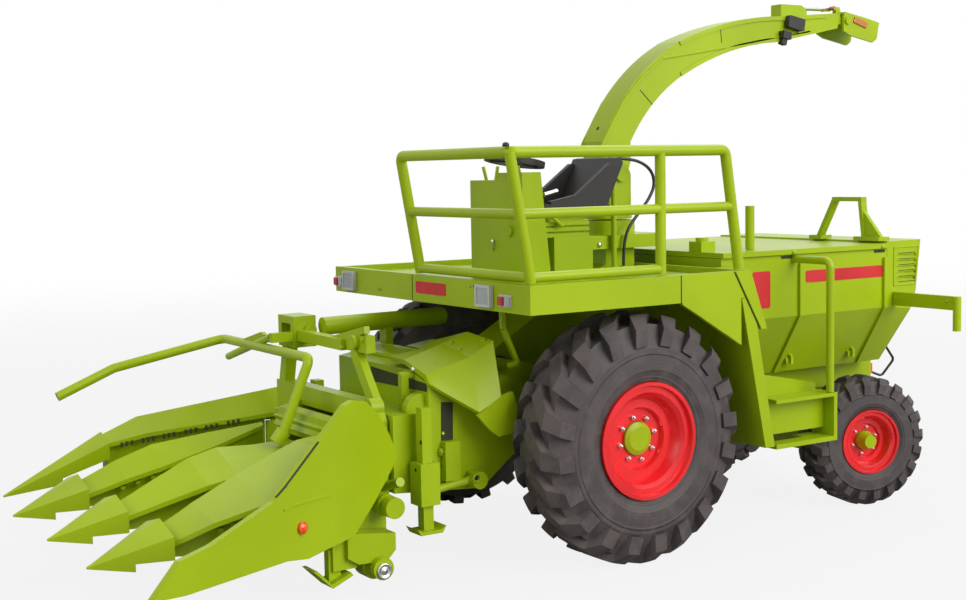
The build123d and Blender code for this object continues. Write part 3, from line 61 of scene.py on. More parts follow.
def hold_camera():
    """Places the camera where the photograph was taken, from the front left at deck height."""
    lens = bpy.data.cameras.new("camera")
    lens.sensor_width, lens.lens = CAMERA_SENSOR, CAMERA_LENS
    lens.clip_start, lens.clip_end = 0.01, 20.0
    rig = bpy.data.objects.new("camera", lens)
    bpy.context.scene.collection.objects.link(rig)
    az, el, roll = (math.radians(a) for a in CAMERA_ANGLES)
    back = Vector((math.sin(az) * math.cos(el), -math.cos(az) * math.cos(el), math.sin(el)))
    right = (-back).cross(Vector((0, 0, 1))).normalized()
    up = right.cross(-back)
    turned_right = math.cos(roll) * right + math.sin(roll) * up
    turned_up = -math.sin(roll) * right + math.cos(roll) * up
    turn = Matrix((turned_right, turned_up, back)).transposed().to_4x4()
    rig.matrix_world = Matrix.Translation(Vector(row(CAMERA_PLACE))) @ turn
    bpy.context.scene.camera = rig


hold_camera()


# shader expressions
class Signal:
    """A socket that takes part in Python expressions; each operator adds its Math node."""

    def __init__(self, tree, socket):
        self.tree, self.socket = tree, socket

    def maths(self, operation, *others):
        """The Math node of that operation on this socket and the others."""
        n = self.tree.nodes.new("ShaderNodeMath")
        n.operation = operation
        for slot, value in zip(n.inputs, (self,) + others):
            if isinstance(value, Signal):
                self.tree.links.new(value.socket, slot)
            else:
                slot.default_value = float(value)
        return Signal(self.tree, n.outputs[0])

    def __add__(self, o):
        return self.maths("ADD", o)

    __radd__ = __add__

    def __mul__(self, o):
        return self.maths("MULTIPLY", o)

    __rmul__ = __mul__

    def __sub__(self, o):
        return self.maths("SUBTRACT", o)

    def __pow__(self, o):
        return self.maths("POWER", o)

    def __abs__(self):
        return self.maths("ABSOLUTE")


class Finish:
    """One finish. node() makes any node of it and hands back its sockets as Signals."""

    def __init__(self, name):
        self.material = bpy.data.materials.new(name)
        self.material.use_nodes = True
        self.tree = self.material.node_tree
        self.tree.nodes.clear()

    def node(self, kind, out=0, settings=None, **sockets):
        """A node of that type, settings first, then values or Signals for its sockets: each by its
        name, with _ for a space, or as i and its number where names repeat."""
        n = self.tree.nodes.new(kind)
        for key, value in (settings or {}).items():
            setattr(n, key, value)
        for key, value in sockets.items():
            slot = n.inputs[key.replace("_", " ")] if not key[1:].isdigit() else n.inputs[int(key[1:])]
            if isinstance(value, Signal):
                self.tree.links.new(value.socket, slot)
            else:
                slot.default_value = value
        return Signal(self.tree, n.outputs[out]) if n.outputs else None

    def where(self):
        """The point's own coordinates, in metres."""
        return self.node("ShaderNodeTexCoord", out="Object")

    def place(self, where):
        """The same coordinates as three Signals, in millimetres of the row frame."""
        n = self.tree.nodes.new("ShaderNodeSeparateXYZ")
        self.tree.links.new(where.socket, n.inputs[0])
        return [Signal(self.tree, s) * MM for s in n.outputs]

    def about(self, where, centre, axis):
        """Millimetres along the level axle through centre, and millimetres out from it."""
        rel = [p - c for p, c in zip(self.place(where), centre)]
        along = rel[0] * axis[0] + rel[1] * axis[1]
        return along, (rel[0] * rel[0] + rel[1] * rel[1] + rel[2] * rel[2] - along * along) ** 0.5

    def noise(self, where, scale, detail=2.0, rough=0.5):
        """Soft noise from 0 to 1, with scale as its waves in a metre."""
        return self.node("ShaderNodeTexNoise", Vector=where, Scale=scale, Detail=detail, Roughness=rough)

    def step(self, value, low, high):
        """Smooth step of value between low and high, from 0 to 1."""
        return self.node("ShaderNodeMapRange", settings={"interpolation_type": "SMOOTHSTEP"},
                         Value=value, From_Min=low, From_Max=high)

    def blend(self, factor, a, b):
        """Colour between a and b by factor."""
        return self.node("ShaderNodeMix", out=2, settings={"data_type": "RGBA"}, i0=factor, i6=a, i7=b)

    def bump(self, height, distance, strength):
        """The normal that height gives, at distance metres for each unit of it."""
        return self.node("ShaderNodeBump", Height=height, Distance=distance, Strength=strength)

    def finish(self, **sockets):
        """The Principled shader and the output, which close the finish."""
        skin = self.node("ShaderNodeBsdfPrincipled", **sockets)
        self.node("ShaderNodeOutputMaterial", Surface=skin)
        return self.material


def linear(red, green, blue):
    """Screen colour, 0 to 255, as the linear colour that shaders take."""
    s = np.array([red, green, blue]) / 255.0
    return tuple(np.where(s <= 0.04045, s / 12.92, ((s + 0.055) / 1.055) ** 2.4)) + (1.0,)


# waves of the rim's turned rings, the tyre's mould rings and the lenses' flutes, in radians a millimetre
RIM_RINGS, TYRE_RINGS, FLUTES = 7.0, 9.0, 5.2


def enamel(name, colour, deep):
    """Sprayed enamel on die-cast metal: faint clouding in the colour, orange peel, dust in the gloss."""
    f = Finish(name)
    where = f.where()
    cloud = f.noise(where, 38.0, 3.0)
    peel = f.noise(where, 2600.0, 2.0, 0.4)
    speck = f.step(f.noise(where, 900.0, 1.0), 0.66, 0.74)
    colour = f.blend(f.step(cloud, 0.35, 0.70), linear(*deep), linear(*colour))
    colour = f.blend(speck * 0.10, colour, linear(*deep))
    return f.finish(Base_Color=colour, Roughness=0.34 + 0.10 * (cloud - 0.5) + 0.05 * speck,
                    Normal=f.bump(peel, 0.000012, 0.55), Coat_Weight=0.05, Coat_Roughness=0.18,
                    IOR=1.33)


def rim_enamel(name, centre, axis):
    """Glossy red enamel with the fine rings that turning left in the rim."""
    f = Finish(name)
    where = f.where()
    _, radius = f.about(where, centre, axis)
    rings = (radius * RIM_RINGS).maths("SINE")
    cloud = f.noise(where, 90.0, 2.0)
    peel = f.noise(where, 2400.0, 2.0, 0.4)
    colour = f.blend(f.step(cloud, 0.3, 0.7), linear(218, 16, 24), linear(244, 30, 36))
    return f.finish(Base_Color=colour, Roughness=0.26 + 0.08 * (cloud - 0.5),
                    Normal=f.bump(rings * 0.5 + peel, 0.00002, 0.35), Coat_Weight=0.35,
                    Coat_Roughness=0.12)


def tyre_rubber(name, centre, axis, ring, rim, width):
    """Moulded rubber: fine pores, dusty lug faces, a raised line round the side and faint mould rings.
    ring and rim are the radii of that line and of the rim's edge, width is the tyre's."""
    f = Finish(name)
    where = f.where()
    along, radius = f.about(where, centre, axis)
    side = f.step(abs(along), width * 0.40, width * 0.47)
    line = f.step(abs(radius - ring), 0.34, 0.10) * side
    bead = f.step(abs(radius - (rim + 0.9)), 0.30, 0.10) * side
    fine = (radius * TYRE_RINGS).maths("SINE") * side * f.step(radius, ring, ring - 1.0)
    pores = f.noise(where, 5200.0, 2.0, 0.6)
    dust = f.noise(where, 260.0, 4.0, 0.6)
    worn = f.step(radius, ring + 1.0, ring + 7.0)
    grime = f.step(dust + 0.10 * worn, 0.42, 0.68)
    colour = f.blend(grime, linear(67, 60, 60), linear(86, 78, 76))
    height = line * 6.0 + bead * 3.0 + fine * 0.12 + pores * 0.30
    return f.finish(Base_Color=colour, Roughness=0.60 + 0.16 * grime - 0.10 * line,
                    Normal=f.bump(height, 0.00004, 0.8))


def moulded(name, colour, pale, rough=0.42, grain=3000.0, coat=0.0):
    """Moulded plastic or rubber: fine grain in the surface and a slightly uneven sheen."""
    f = Finish(name)
    where = f.where()
    cloud = f.noise(where, 120.0, 3.0)
    pores = f.noise(where, grain, 2.0, 0.5)
    shade = f.blend(f.step(cloud, 0.30, 0.72), linear(*colour), linear(*pale))
    return f.finish(Base_Color=shade, Roughness=rough + 0.14 * (cloud - 0.5),
                    Normal=f.bump(pores, 0.00002, 0.5), Coat_Weight=coat)


def bright_metal(name, colour, rough=0.24):
    """Plated or bare metal with fine drawing marks and a few dull spots."""
    f = Finish(name)
    where = f.where()
    marks = f.noise(where, 1500.0, 3.0, 0.7)
    dull = f.step(f.noise(where, 420.0, 2.0), 0.55, 0.72)
    shade = f.blend(dull * 0.5, linear(*colour), linear(*[0.72 * c for c in colour]))
    return f.finish(Base_Color=shade, Metallic=1.0, Roughness=rough + 0.16 * dull + 0.06 * marks,
                    Normal=f.bump(marks, 0.000012, 0.4))


def lamp_lens(name, colour, pale):
    """Ribbed lens: upright flutes in the surface over a clear, bright colour that pales along their crests as
    painted sheen.
    """
    f = Finish(name)
    where = f.where()
    x, y, _ = f.place(where)
    flutes = (x * FLUTES + y * FLUTES).maths("SINE")
    cloud = f.noise(where, 300.0, 2.0)
    # the pale along the flutes' crests is painted sheen, the clouding random tone
    shade = f.blend(f.step(flutes + 0.4 * (cloud - 0.5), -0.8, 0.9), linear(*colour), linear(*pale))
    return f.finish(Base_Color=shade, Roughness=0.16 + 0.08 * cloud, Normal=f.bump(flutes, 0.00006, 0.5),
                    Coat_Weight=0.5, Coat_Roughness=0.05)


PAINT = enamel("lime_enamel", (168, 193, 16), (158, 182, 12))
# SHADOW is the dark of the seams' joints, and painted shade in holes, notches, the slots between fingers,
# under the louvres' lips and in the housing's recess
SHADOW = moulded("seam_shadow", (34, 38, 10), (48, 54, 14), 0.7)
BLACK = moulded("black_moulding", (22, 18, 17), (33, 28, 27), 0.50)
HOSE = moulded("hose_rubber", (24, 24, 25), (42, 41, 42), 0.38, 4200.0)
STEEL = bright_metal("plated_steel", (214, 214, 210))
COPPER = bright_metal("copper_link", (186, 122, 78), 0.30)
RED_PLATE = moulded("red_plate", (198, 22, 30), (212, 34, 40), 0.42, 2600.0)
AMBER = lamp_lens("amber_lens", (240, 66, 16), (255, 104, 36))
RED_LENS = lamp_lens("red_lens", (176, 26, 24), (214, 64, 52))
CLEAR_LENS = moulded("clear_lens", (168, 172, 174), (186, 190, 192), 0.25, 2000.0, 0.3)
SILVER = moulded("silver_paint", (188, 190, 190), (206, 208, 208), 0.34, 2400.0)

# Wheels in machine millimetres. The rear ones are steered, as in the photograph: each turns about
# its pin, and its middle lies REAR_OUT from the pin along the axle.
STEER = math.radians(-14.3)
FRONT_HUB, REAR_PIN, REAR_OUT = (32.8, 0.0, 24.9), (18.6, 75.7, 14.8), 8.0
# radius of the tyre's raised line, radius of the rim's edge, width of the tyre
TYRES = {"front": (17.4, 11.7, 14.8), "rear": (11.2, 7.4, 9.6)}
# wheel nuts: how many, radius of their circle, their place along the axle, their size
NUTS = {"front": (8, 4.4, 2.5, 1.05), "rear": (6, 3.1, 1.1, 0.74)}

WHEELS = {}  # place: (pair, middle in the row frame's millimetres, axle's direction in plan)
for word, side in (("left", 1), ("right", -1)):
    hub = np.array([side * FRONT_HUB[0], *FRONT_HUB[1:]])
    WHEELS[f"front_{word}"] = ("front", hub - MIDDLE, (float(side), 0.0))
    way = (side * math.cos(STEER), side * math.sin(STEER))
    hub = np.array([side * REAR_PIN[0] + REAR_OUT * way[0], REAR_PIN[1] + REAR_OUT * way[1], REAR_PIN[2]])
    WHEELS[f"rear_{word}"] = ("rear", hub - MIDDLE, way)

DRESS = {"seat": BLACK, "steering_wheel": BLACK, "front_lamps": SILVER, "rear_pipe": HOSE}
for place, (pair, centre, axis) in WHEELS.items():
    DRESS[f"tyre_{place}"] = tyre_rubber(f"rubber_{place}", centre, axis, *TYRES[pair])
    DRESS[f"rim_{place}"] = rim_enamel(f"rim_enamel_{place}", centre, axis)


def dress_nodes():
    """Every CAD node gets its finish, and the hose keeps one under the smooth line that replaces it."""
    for name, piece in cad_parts.items():
        finish = DRESS.get(name, HOSE if name.startswith("hose_") else PAINT)
        for i in range(len(piece.data.materials)):
            piece.data.materials[i] = finish
        if not piece.data.materials:
            piece.data.materials.append(finish)


# The swivel's oil hose, from the block behind the seat to the deck's gland: its plane, thickness and
# length, then (y, z) along it.
HOSE_X, HOSE_THICK, HOSE_LENGTH = 8.8, 0.7, 34.3
HOSE_ROUTE = [(16.4, 80.6), (20.4, 80.5), (24.2, 79.4), (26.6, 77.4), (27.1, 74.6), (25.7, 71.9),
              (23.5, 69.5), (21.2, 67.2), (19.2, 64.8), (18.2, 61.0), (18.2, 57.2)]


def spout_hose():
    """One smooth line through the hose's route in the plane x = HOSE_X, with a round bevel."""
    line = bpy.data.curves.new("spout_hose", "CURVE")
    line.dimensions = "3D"
    run = line.splines.new("NURBS")
    run.points.add(len(HOSE_ROUTE) - 1)
    for point, (y, z) in zip(run.points, HOSE_ROUTE):
        point.co = (*row((HOSE_X, y, z)), 1.0)
    run.order_u = 3
    run.use_endpoint_u = True
    run.resolution_u = 10
    line.bevel_depth = HOSE_THICK / 2 / MM
    line.bevel_resolution = 4
    line.use_fill_caps = True
    line.materials.append(HOSE)
    piece = bpy.data.objects.new("spout_hose", line)
    bpy.context.scene.collection.objects.link(piece)
    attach(piece, "machine")
    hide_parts("hose_spout")


# surfaces from numpy grids
def surface(name, grids, finish, body, smooth=False):
    """One mesh from grids of points (u, v, 3), each a patch that wraps round in u."""
    verts, faces, start = [], [], 0
    for grid in grids:
        nu, nv = grid.shape[:2]
        i, j = np.meshgrid(np.arange(nu), np.arange(nv - 1), indexing="ij")
        a = i * nv + j
        b = ((i + 1) % nu) * nv + j
        faces.append(np.stack([a, b, b + 1, a + 1], -1).reshape(-1, 4) + start)
        verts.append(grid.reshape(-1, 3))
        start += nu * nv
    points, quads = np.concatenate(verts), np.concatenate(faces)
    mesh = bpy.data.meshes.new(name)
    mesh.from_pydata(row(points).tolist(), [], quads.tolist())
    mesh.update()
    weld(mesh)
    mesh.polygons.foreach_set("use_smooth", np.full(len(mesh.polygons), smooth))
    piece = bpy.data.objects.new(name, mesh)
    bpy.context.scene.collection.objects.link(piece)
    mesh.materials.append(finish)
    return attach(piece, body)


def weld(mesh):
    """Merges the doubled points at poles and seams and turns the faces outwards."""
    b = bmesh.new()
    b.from_mesh(mesh)
    bmesh.ops.remove_doubles(b, verts=b.verts, dist=1e-7)
    bmesh.ops.dissolve_degenerate(b, dist=1e-8, edges=b.edges)
    bmesh.ops.recalc_face_normals(b, faces=b.faces)
    b.to_mesh(mesh)
    b.free()


def unit(v):
    """The direction of v."""
    return np.asarray(v, float) / np.linalg.norm(v)


def turned(profile, origin, axis, sides, turn=0.0):
    """Grid of a turned piece: P(u, v) = origin + h(v) a + r(v) (cos u e1 + sin u e2)."""
    a = unit(axis)
    e1 = unit(np.cross(a, (0.0, 0.0, 1.0) if abs(a[2]) < 0.9 else (1.0, 0.0, 0.0)))
    e2 = np.cross(a, e1)
    u = np.linspace(0, 2 * np.pi, sides, endpoint=False)[:, None, None] + turn
    r, h = (np.asarray(profile, float)[:, k][None, :, None] for k in (0, 1))
    return np.asarray(origin, float) + h * a + r * (np.cos(u) * e1 + np.sin(u) * e2)


def carried(profile, path, out):
    """Grid of a bar, the closed profile (s, h) carried along the path:
    P(u, v) = c(v) + s(u) (t x n) + h(u) n, where t is the path's direction and n is out;
    a point at the profile's middle closes each end."""
    path, n = np.asarray(path, float), unit(out)
    t = np.gradient(path, axis=0)
    side = np.cross(t, n)
    side /= np.linalg.norm(side, axis=1)[:, None]
    s, h = np.asarray(profile, float).T
    ring = path[None] + s[:, None, None] * side[None] + h[:, None, None] * n
    middle = ring.mean(axis=0)[None].repeat(len(s), axis=0)
    return np.concatenate([middle[:, :1], ring, middle[:, -1:]], axis=1)


SUNK = 0.05  # how deep bars and plates reach into the surface that they sit on


def flat_bar(width, high):
    """Profile of a bar on a surface, its upper corners eased by 0.3 of its height."""
    w, e = width / 2, 0.3 * high
    return [(-w, -SUNK), (w, -SUNK), (w, high - e), (w - e, high), (-w + e, high), (-w, high - e)]


def round_bar(radius, sides):
    """Profile of a rod."""
    u = np.linspace(0, 2 * np.pi, sides, endpoint=False)
    return np.stack([radius * np.cos(u), radius * np.sin(u)], axis=1)


# of a thin plate: two over its superellipse's power, the roll of its edge in mm, the points round it
CORNER, EASE, ROUND = 0.12, 0.06, 32


def pillow(centre, out, up, width, height, thick):
    """Grid of a thin plate with rounded corners: its outline is a superellipse,
    |s / w| ** n + |t / h| ** n = 1, and its edge rolls over by EASE to the flat face."""
    out, up = unit(out), unit(up)
    across = np.cross(up, out)
    n = 2.0 / CORNER
    u = np.linspace(0, 2 * np.pi, ROUND, endpoint=False)[:, None, None] + np.pi / ROUND
    s = np.sign(np.cos(u)) * np.abs(np.cos(u)) ** (2 / n)
    t = np.sign(np.sin(u)) * np.abs(np.sin(u)) ** (2 / n)
    inset = np.array([np.inf, 0.0, 0.0, 0.3 * EASE, EASE, np.inf])
    half_w = np.maximum(width / 2 - inset, 0.0)[None, :, None]
    half_h = np.maximum(height / 2 - inset, 0.0)[None, :, None]
    h = np.array([-SUNK, -SUNK, thick - EASE, thick - 0.3 * EASE, thick, thick])[None, :, None]
    return np.asarray(centre, float) + s * half_w * across + t * half_h * up + h * out


def plate(corners, out, thick):
    """Grid of a plate of any convex outline: the corners, sunk and raised along out, and the middle
    that closes each face."""
    ring, n = np.asarray(corners, float), unit(out)
    middle = ring.mean(axis=0)[None].repeat(len(ring), axis=0)
    return np.stack([middle - SUNK * n, ring - SUNK * n, ring + thick * n, middle + thick * n], axis=1)


FRONT, LEFT, TOP = (0.0, -1.0, 0.0), (1.0, 0.0, 0.0), (0.0, 0.0, 1.0)  # directions in the machine frame

# profiles of turned pieces, (radius, height) for a width of about one
NUT = [(0.0, -0.3), (0.52, -0.3), (0.52, 0.42), (0.40, 0.58), (0.30, 0.60), (0.27, 0.95), (0.0, 1.0)]
BOLT = [(0.0, -0.2), (0.50, -0.2), (0.50, 0.30), (0.40, 0.40), (0.0, 0.40)]
DOME = [(0.0, -0.2), (0.50, -0.2), (0.50, 0.10), (0.43, 0.28), (0.25, 0.40), (0.0, 0.44)]
# HOLE is a flat disc, drawn in SHADOW as painted shade where a hole is
HOLE = [(0.0, -0.1), (0.50, -0.1), (0.50, 0.03), (0.0, 0.03)]
EYE = [(0.45, -0.1), (0.62, -0.1), (0.62, 0.22), (0.52, 0.28), (0.45, 0.22), (0.45, -0.1)]
CAP = [(0.0, -0.2), (1.60, -0.2), (1.60, 0.35), (1.45, 0.50), (1.20, 0.50), (1.10, 0.25), (0.62, 0.25),
       (0.55, 0.45), (0.0, 0.45)]
LEVER = [(0.0, 0.0), (0.16, 0.0), (0.16, 1.3), (0.34, 1.7), (0.38, 2.1), (0.28, 2.5), (0.0, 2.6)]


def sized(profile, size):
    """The profile at that size."""
    return [(r * size, h * size) for r, h in profile]


def wheel_nuts():
    """Hexagonal nuts with their studs, set round each hub on the rim's disc."""
    for place, (pair, centre, axis) in WHEELS.items():
        count, ring, depth, size = NUTS[pair]
        a = np.array([*axis, 0.0])
        side, top = np.cross(TOP, a), np.array(TOP)
        grids = []
        for i in range(count):
            t = 2 * math.pi * (i + 0.3) / count
            spot = centre + MIDDLE + a * depth + ring * (math.cos(t) * side + math.sin(t) * top)
            grids.append(turned(sized(NUT, size), spot, a, 6, t))
        surface(f"nuts_{place}", grids, STEEL, f"wheel_{place}")


DECK_FRONT = -28.5  # Y of the skirt's front face

# name, body, finish, profile, sides, then (size, place, direction) of each
STUDS = [
    ("guard_bolts", "header", PAINT, BOLT, 6, [
        (1.0, (12.9, -28.9, 44.2), (0.15, -0.45, 0.88)), (1.0, (16.8, -29.4, 43.2), (0.16, -0.49, 0.86)),
        (0.5, (16.3, -34.8, 41.1), (0.21, -0.35, 0.91)), (1.2, (19.7, -25.7, 45.0), (0.10, -0.51, 0.85))]),
    ("guard_bolt_bright", "header", STEEL, DOME, 16, [(1.1, (13.5, -38.2, 39.8), FRONT)]),
    ("housing_bolts", "header", PAINT, BOLT, 6, [
        (1.7, (19.1, -35.4, 24.0), FRONT), (0.8, (18.8, -35.0, 27.5), LEFT)]),
    ("housing_studs", "header", STEEL, DOME, 12, [
        (0.6, (19.1, -35.9, 24.0), FRONT), (0.45, (19.1, -35.0, 27.5), LEFT)]),
    ("rod_eye", "header", PAINT, EYE, 20, [(1.5, (22.2, -29.5, 18.5), LEFT)]),
    ("mast_bolts", "header", PAINT, BOLT, 6, [
        (1.0, (2.0, -47.8, 43.9), LEFT), (1.0, (9.5, -47.1, 46.0), FRONT)]),
    ("gearbox_cap", "header", STEEL, CAP, 28, [(0.96, (28.0, -53.7, 5.3), LEFT)]),
    # these four rows of HOLE discs are painted shade: flat dark discs where the holes are, one of them in the
    # jack's pin
    ("sleeve_hole", "header", SHADOW, HOLE, 14, [
        (0.8, (21.7, -42.9, 21.7), FRONT), (1.0, (22.2, -29.5, 18.5), LEFT)]),
    ("jack_pin_hole_shade", "jack_leg", SHADOW, HOLE, 14, [(0.9, (22.2, -41.9, 27.0), FRONT)]),
    ("deck_holes", "machine", SHADOW, HOLE, 10, [
        (0.5, (-17.6, DECK_FRONT, 53.2), FRONT), (0.5, (-16.7, DECK_FRONT, 53.2), FRONT),
        (0.4, (19.8, DECK_FRONT, 55.9), FRONT), (0.4, (20.9, DECK_FRONT, 56.1), FRONT)]),
    ("boom_hole", "spout", SHADOW, HOLE, 14, [(0.9, (-0.2, 18.4, 87.4), (0, -0.88, 0.47))]),
    ("lamp_arm_bolt", "machine", PAINT, DOME, 12, [(0.8, (43.8, 82.0, 47.5), FRONT)]),
    ("lid_hinges", "machine", PAINT, DOME, 12, [
        (1.1, (s * 29.0, y, 59.4), (s, 0, 0)) for s in (1, -1) for y in (49.6, 77.8)]),
    ("rail_knob", "machine", BLACK, DOME, 14, [(1.3, (38.9, -32.4, 83.0), TOP)]),
    ("turret_clip", "machine", STEEL, DOME, 14, [(1.2, (7.8, 12.3, 62.0), LEFT)]),
    ("sheet_reflector", "header", AMBER, DOME, 28, [(2.3, (32.9, -72.4, 17.2), (0.93, 0.38, 0))]),
    ("console_lever", "machine", STEEL, LEVER, 14, [(0.9, (9.6, -16.3, 62.1), (0, -0.1, 1))]),
]


def studs():
    """Bolts, nuts, eyes and knobs: each is its profile turned about its own direction."""
    for name, body, finish, profile, sides, spots in STUDS:
        grids = [turned(sized(profile, size), place, way, sides) for size, place, way in spots]
        surface(name, grids, finish, body, smooth=sides > 8)


# X of the boom's, the engine box's and the skirt's side, and Y of the catches on the box
BOOM_SIDE, BOX_SIDE, SKIRT_SIDE = 3.65, 28.3, 40.3
LATCHES = (54.8, 74.6)
# the gathering fingers under the far divider's lip, with painted shade in the slots between them: ends of
# their line, the way that it faces, and their places as shares of it, in six groups of three
FINGERS_FROM, FINGERS_TO = np.array([-46.1, -77.6, 20.5]), np.array([-33.3, -54.5, 25.1])
FINGERS_OUT = (0.875, -0.485, 0.0)
FINGERS = [share + 0.042 * k for share in (0.045, 0.22, 0.39, 0.57, 0.74, 0.92) for k in (-1, 0, 1)]

# name, body, finish, then (centre, out, up, width, height, thick) of each
PLATES = [
    ("plate_deck", "machine", RED_PLATE, [((4.5, DECK_FRONT, 54.7), FRONT, TOP, 12.0, 2.5, 0.12)]),
    ("plate_side", "machine", RED_PLATE, [((BOX_SIDE, 66.2, 53.8), LEFT, TOP, 24.6, 2.7, 0.10)]),
    ("plate_square", "machine", RED_PLATE, [((BOX_SIDE, 40.6, 51.6), LEFT, TOP, 5.2, 8.1, 0.10)]),
    ("lamp_glass", "machine", CLEAR_LENS, [
        ((25.5, -29.2, 54.5), FRONT, TOP, 4.3, 3.3, 0.2),
        ((-30.3, -29.2, 54.5), FRONT, TOP, 4.3, 3.3, 0.2)]),
    ("marker_base", "machine", SILVER, [
        ((32.2, DECK_FRONT, 53.9), FRONT, TOP, 4.2, 2.4, 0.3),
        ((-35.9, DECK_FRONT, 54.0), FRONT, TOP, 4.0, 2.4, 0.3)]),
    ("marker_white", "machine", CLEAR_LENS, [
        ((33.3, -28.8, 53.9), FRONT, TOP, 1.7, 1.9, 0.35),
        ((-35.0, -28.8, 54.0), FRONT, TOP, 1.6, 1.9, 0.35)]),
    ("marker_red", "machine", RED_LENS, [
        ((31.2, -28.8, 53.9), FRONT, TOP, 1.7, 1.7, 0.5),
        ((-36.9, -28.8, 54.0), FRONT, TOP, 1.7, 1.7, 0.5)]),
    ("rail_marker", "machine", AMBER, [((13.6, 90.0, 28.6), (0, 1, 0), TOP, 1.5, 2.6, 0.8)]),
    ("boom_clamp", "spout", BLACK, [
        ((3.95, 74.2, 112.2), LEFT, (0, 0.18, 1), 5.2, 2.9, 1.5),
        ((BOOM_SIDE, 71.1, 109.3), LEFT, (0, 0.18, 1), 2.6, 1.8, 1.8),
        ((BOOM_SIDE, 70.6, 108.0), LEFT, (0, 0.3, 1), 1.5, 1.9, 1.4)]),
    ("flap_plate", "spout_flap", COPPER, [((4.65, 96.4, 113.3), LEFT, (0, 0.3, 1), 4.6, 1.5, 0.35)]),
    # painted shade: thin dark strips in the lids' notches
    ("lid_notch_shade", "machine", SHADOW, [
        ((s * BOX_SIDE, y, 58.4), (s, 0, 0), TOP, 3.6, 0.7, 0.08) for s in (1, -1) for y in (48.2, 77.4)]),
    ("box_latches", "machine", PAINT, [
        ((s * 21.9, y, 34.7), (s * 0.85, 0, -0.52), TOP, 2.6, 1.1, 0.8)
        for s in (1, -1) for y in LATCHES]),
    ("box_latch_tongues", "machine", PAINT, [
        ((s * 22.5, y, 35.0), (s * 0.85, 0, -0.52), TOP, 0.8, 2.0, 0.9)
        for s in (1, -1) for y in LATCHES]),
    # painted shade: thin dark plates in the slots between the gathering fingers
    ("finger_slot_shade", "header", SHADOW, [
        (FINGERS_FROM + share * (FINGERS_TO - FINGERS_FROM), FINGERS_OUT, TOP, 0.5, 1.1, 0.12)
        for share in FINGERS]),
]

# name, body, finish, then (corners, out, thick) of each
PANELS = [
    ("step_panel_top", "machine", PAINT, [
        ([(SKIRT_SIDE, y, z) for y, z in ((21.9, 57.1), (26.0, 57.1), (30.4, 45.0), (28.9, 45.0))],
         LEFT, 0.35)]),
    # painted shade: dark sheets on the housing's side and front where the intake's hollow lies in shade
    ("housing_recess_shade", "header", SHADOW, [
        ([(18.8, y, z) for y, z in ((-35.2, 33.7), (-32.5, 33.4), (-32.8, 20.3), (-35.5, 20.7))], LEFT, 0.06),
        ([(x, -38.0, z) for x, z in ((-4.4, 38.6), (18.4, 37.5), (18.3, 35.9), (-4.6, 35.5))], FRONT, 0.06)]),
]


def plates():
    """Bare plates, lenses, clamps and catches with eased edges, and the panels with straight ones."""
    for name, body, finish, spots in PLATES:
        surface(name, [pillow(*spot) for spot in spots], finish, body)
    for name, body, finish, spots in PANELS:
        surface(name, [plate(*spot) for spot in spots], finish, body)


LIPS = (50.9, 52.17, 53.52, 54.87, 56.22, 57.57)  # heights of the louvres' lips
